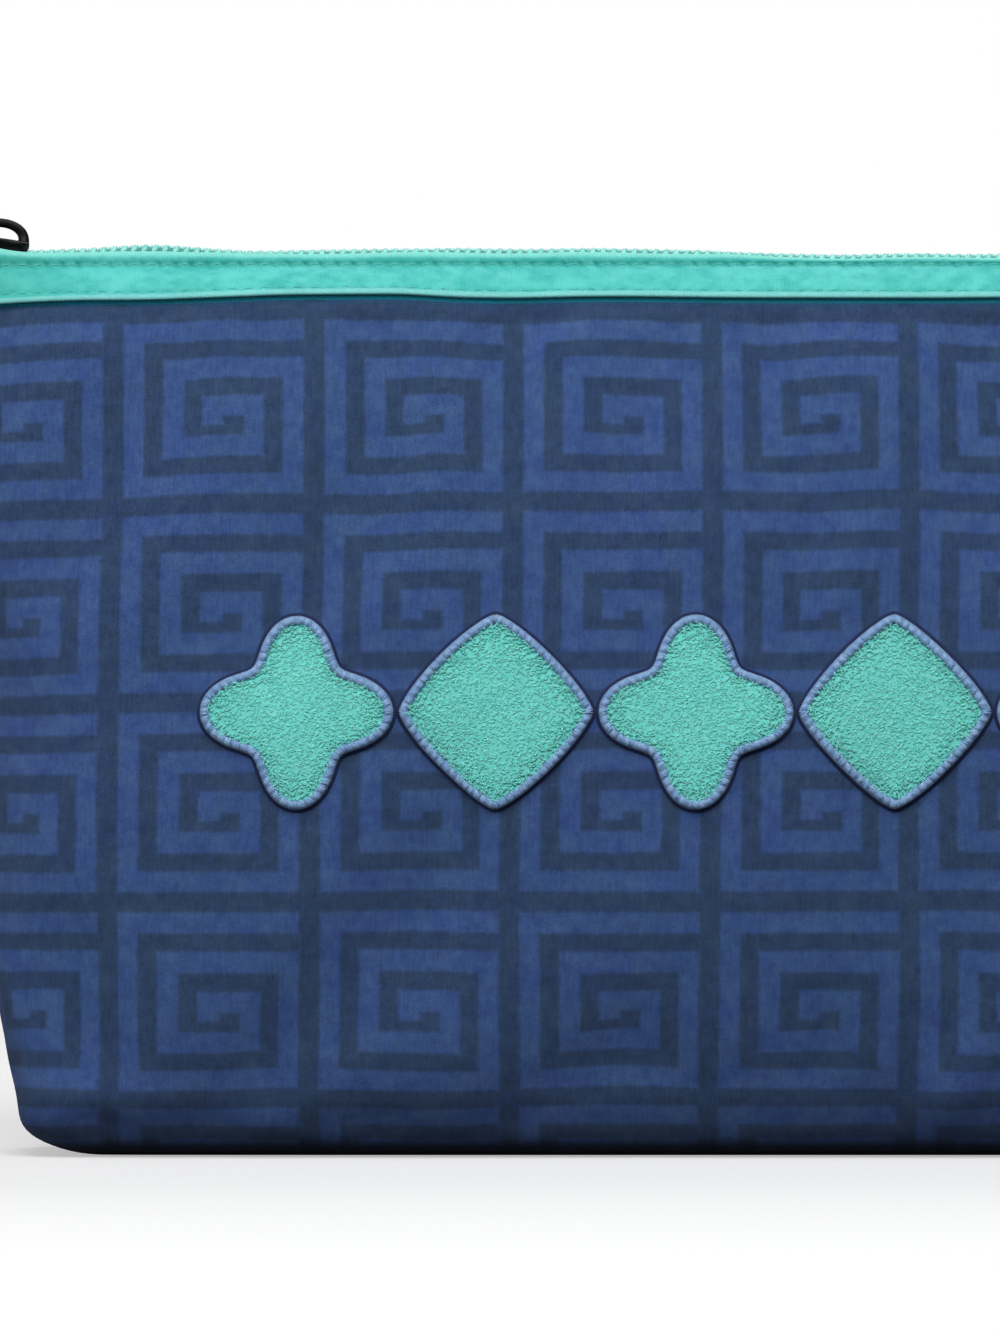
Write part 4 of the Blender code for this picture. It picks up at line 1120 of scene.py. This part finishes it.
def tilted(points, degrees, place):
    """Points turned about Y, so that their left ends rise by the degrees, and set in place."""
    turn = math.radians(degrees)
    x = points[:, 0] * math.cos(turn) + points[:, 2] * math.sin(turn)
    z = -points[:, 0] * math.sin(turn) + points[:, 2] * math.cos(turn)
    return xyz(x, points[:, 1], z) + place


# Measures of the slider from the middle of the teeth, how many degrees it tilts in their slack, the
# tab's pivot, its slope in degrees and its thickness, and the castings' grid.
LENGTH = 0.0139
NOSE = -0.17934
ROOF = 0.00165
REAR_HALF = 0.0041
NOSE_HALF = 0.0063
SLACK = 3.6
TEETH_MIDDLE = 0.17215
TAB_PIVOT = (-0.17257, 0, 0.1769)
TAB_SLOPE = -2.4
TAB_THICK = 0.0011
GRAIN = 0.00017
enamel = enamel_material()


def half_width(share, rear, nose):
    """Rear width, a smooth step to the nose's over 0.2 to 0.6 of the length, and rounded ends."""
    ends = (1 - np.abs(2 * share - 1) ** 8) ** 0.25
    return (rear + (nose - rear) * smooth_step((share - 0.2) / 0.4)) * ends


def slider():
    """Upper and lower plates, divider, flanges and bridge, level about the middle of the teeth."""
    half = LENGTH / 2
    share = (1 - np.cos(np.linspace(0.06, math.pi - 0.06, 40))) / 2
    x = half - (LENGTH + 0.0004) * share + 0.0002
    crown = 0.0006 * (1 - (x / half) ** 2)
    bars = [bar(xyz(x, 0, ROOF + 0.00060 + crown / 2),
                2 * half_width(share, REAR_HALF, NOSE_HALF), 0.0012 + crown, (0, 1, 0)),
            bar(xyz(x, 0, -0.0033), 2 * half_width(share, REAR_HALF, 0.0047), 0.0015, (0, 1, 0))]
    middle = -half + 0.003
    z = np.linspace(-0.0030, ROOF + 0.0004, 12)
    bars.append(bar(xyz(middle, 0, z), 0.0052, 0.0024, (1, 0, 0), 0.9))
    inner = share[3:-3]
    x = half - LENGTH * inner
    out = np.minimum(half_width(inner, REAR_HALF, NOSE_HALF) - 0.0007,
                     0.00355 + 0.0022 * smooth_step((inner - 0.2) / 0.4))
    for side in (-1, 1):
        bars.append(bar(xyz(x, side * out, 0.0005), 0.0011, 0.0031, (0, 1, 0)))
    turn = np.linspace(0, math.pi, 40)
    centre = half - 0.0004 - 0.0051
    arch = xyz(centre + 0.0047 * np.cos(turn), 0,
                  ROOF + 0.0012 + 0.0036 * np.sin(turn) ** 0.8)
    feet = arch[[0, -1]] - (0, 0, 0.0008)
    arch = np.concatenate([feet[:1], arch, feet[1:]])
    flare = 1 + 0.35 * np.exp(-(np.minimum(np.arange(42), np.arange(42)[::-1]) / 3) ** 2)
    rising = np.concatenate([[0], np.sin(turn), [0]])
    bars.append(bar(arch, 0.0022 * flare, 0.0021 - 0.00038 * rising, (0, 1, 0), 0.7))
    place = (NOSE + half, 0, TEETH_MIDDLE)
    return [(tilted(points, SLACK, place), faces) for points, faces in bars]


def pull_tab():
    """The tab, lying to the left of its pivot: the eye's bar and arms, and the plate."""
    y = np.linspace(-0.0028, 0.0028, 16)
    bars = [bar(xyz(0, y, 0), TAB_THICK, TAB_THICK, (1, 0, 0), 0.7)]
    x = np.linspace(0.0002, -0.0085, 20)
    for side in (-1, 1):
        bars.append(bar(xyz(x, side * 0.00215, 0), 0.0013, TAB_THICK, (0, 1, 0)))
    x = np.linspace(-0.00755, -0.0240, 60)
    width = np.interp(-x, (0.0080, 0.0117, 0.0223, 0.0235, 0.0240),
                      (0.0056, 0.0074, 0.0074, 0.0059, 0.0033))
    width = np.convolve(np.pad(width, 3, mode="edge"), np.ones(7) / 7, mode="valid")
    bars.append(bar(xyz(x, 0, 0), width, TAB_THICK, (0, 1, 0), 0.35))
    return [(tilted(points, TAB_SLOPE, TAB_PIVOT), faces) for points, faces in bars]


piece = cast("slider_casting", slider())
attach(piece, "slider_black", "slider", "slider_body")
piece = cast("pull_tab_casting", pull_tab())
attach(piece, "slider_black", "puller", "pull_tab")
for name in ("front_top_stop", "back_top_stop", "bottom_stop"):
    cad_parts[name].material_slots[0].material = enamel

# A white sweep, a broad soft light from above the camera, and weaker ones from the left and behind.
# The floor shows the pouch's shadow and throws little light back up. It is plain white far out.
material = bpy.data.materials.new("floor")
material.use_nodes = True
tree = material.node_tree
tree.nodes.clear()
seen = Wire(tree, tree.nodes.new("ShaderNodeLightPath").outputs["Is Camera Ray"])
place = Wire(tree, tree.nodes.new("ShaderNodeTexCoord").outputs["Object"])
far = place.node("VectorMath", {0: place}, output=1, operation="LENGTH").ramp(0.45, 1.6)
tone = seen.blend((0.09, 0.09, 0.09, 1), (0.54, 0.54, 0.54, 1))
tone = far.blend(tone, (0, 0, 0, 1))
surface = tone.node("BsdfDiffuse", {"Color": tone})
glow = tone.node("Emission", {"Color": (1, 1, 1, 1), "Strength": seen * far.ramp(0, 1, 0.45, 1)})
total = glow.node("AddShader", {0: surface, 1: glow})
out = tree.nodes.new("ShaderNodeOutputMaterial")
tree.links.new(total.output, out.inputs["Surface"])
mesh = bpy.data.meshes.new("floor")
mesh.from_pydata([(-4, -4, 0), (4, -4, 0), (4, 4, 0), (-4, 4, 0)], [], [(0, 1, 2, 3)])
mesh.materials.append(material)
floor = add("floor", mesh)
floor.location.z = -0.0002
world = bpy.data.worlds.new("world")
bpy.context.scene.world = world
world.use_nodes = True
tree = world.node_tree
seen = Wire(tree, tree.nodes.new("ShaderNodeLightPath").outputs["Is Camera Ray"])
tone = seen.blend((0.12, 0.12, 0.12, 1), (1, 1, 1, 1))
tree.links.new(tone.output, tree.nodes["Background"].inputs["Color"])


def lamp(name, place, size, power):
    """A rectangular soft light at a place, aimed at the middle of the pouch."""
    data = bpy.data.lights.new(name, "AREA")
    data.shape = "RECTANGLE"
    data.size, data.size_y = size
    data.energy = power
    light = add(name, data)
    light.location = place
    direction = Vector((0, 0, 0.09)) - Vector(place)
    light.rotation_euler = direction.to_track_quat("-Z", "Y").to_euler()


lamp("key", (0.05, -1.1, 1.3), (1.3, 0.9), 22)
lamp("left_fill", (-1.2, -0.8, 0.5), (0.8, 0.8), 5.5)
lamp("back_fill", (0.25, 1.1, 1.5), (1.0, 1.0), 10)
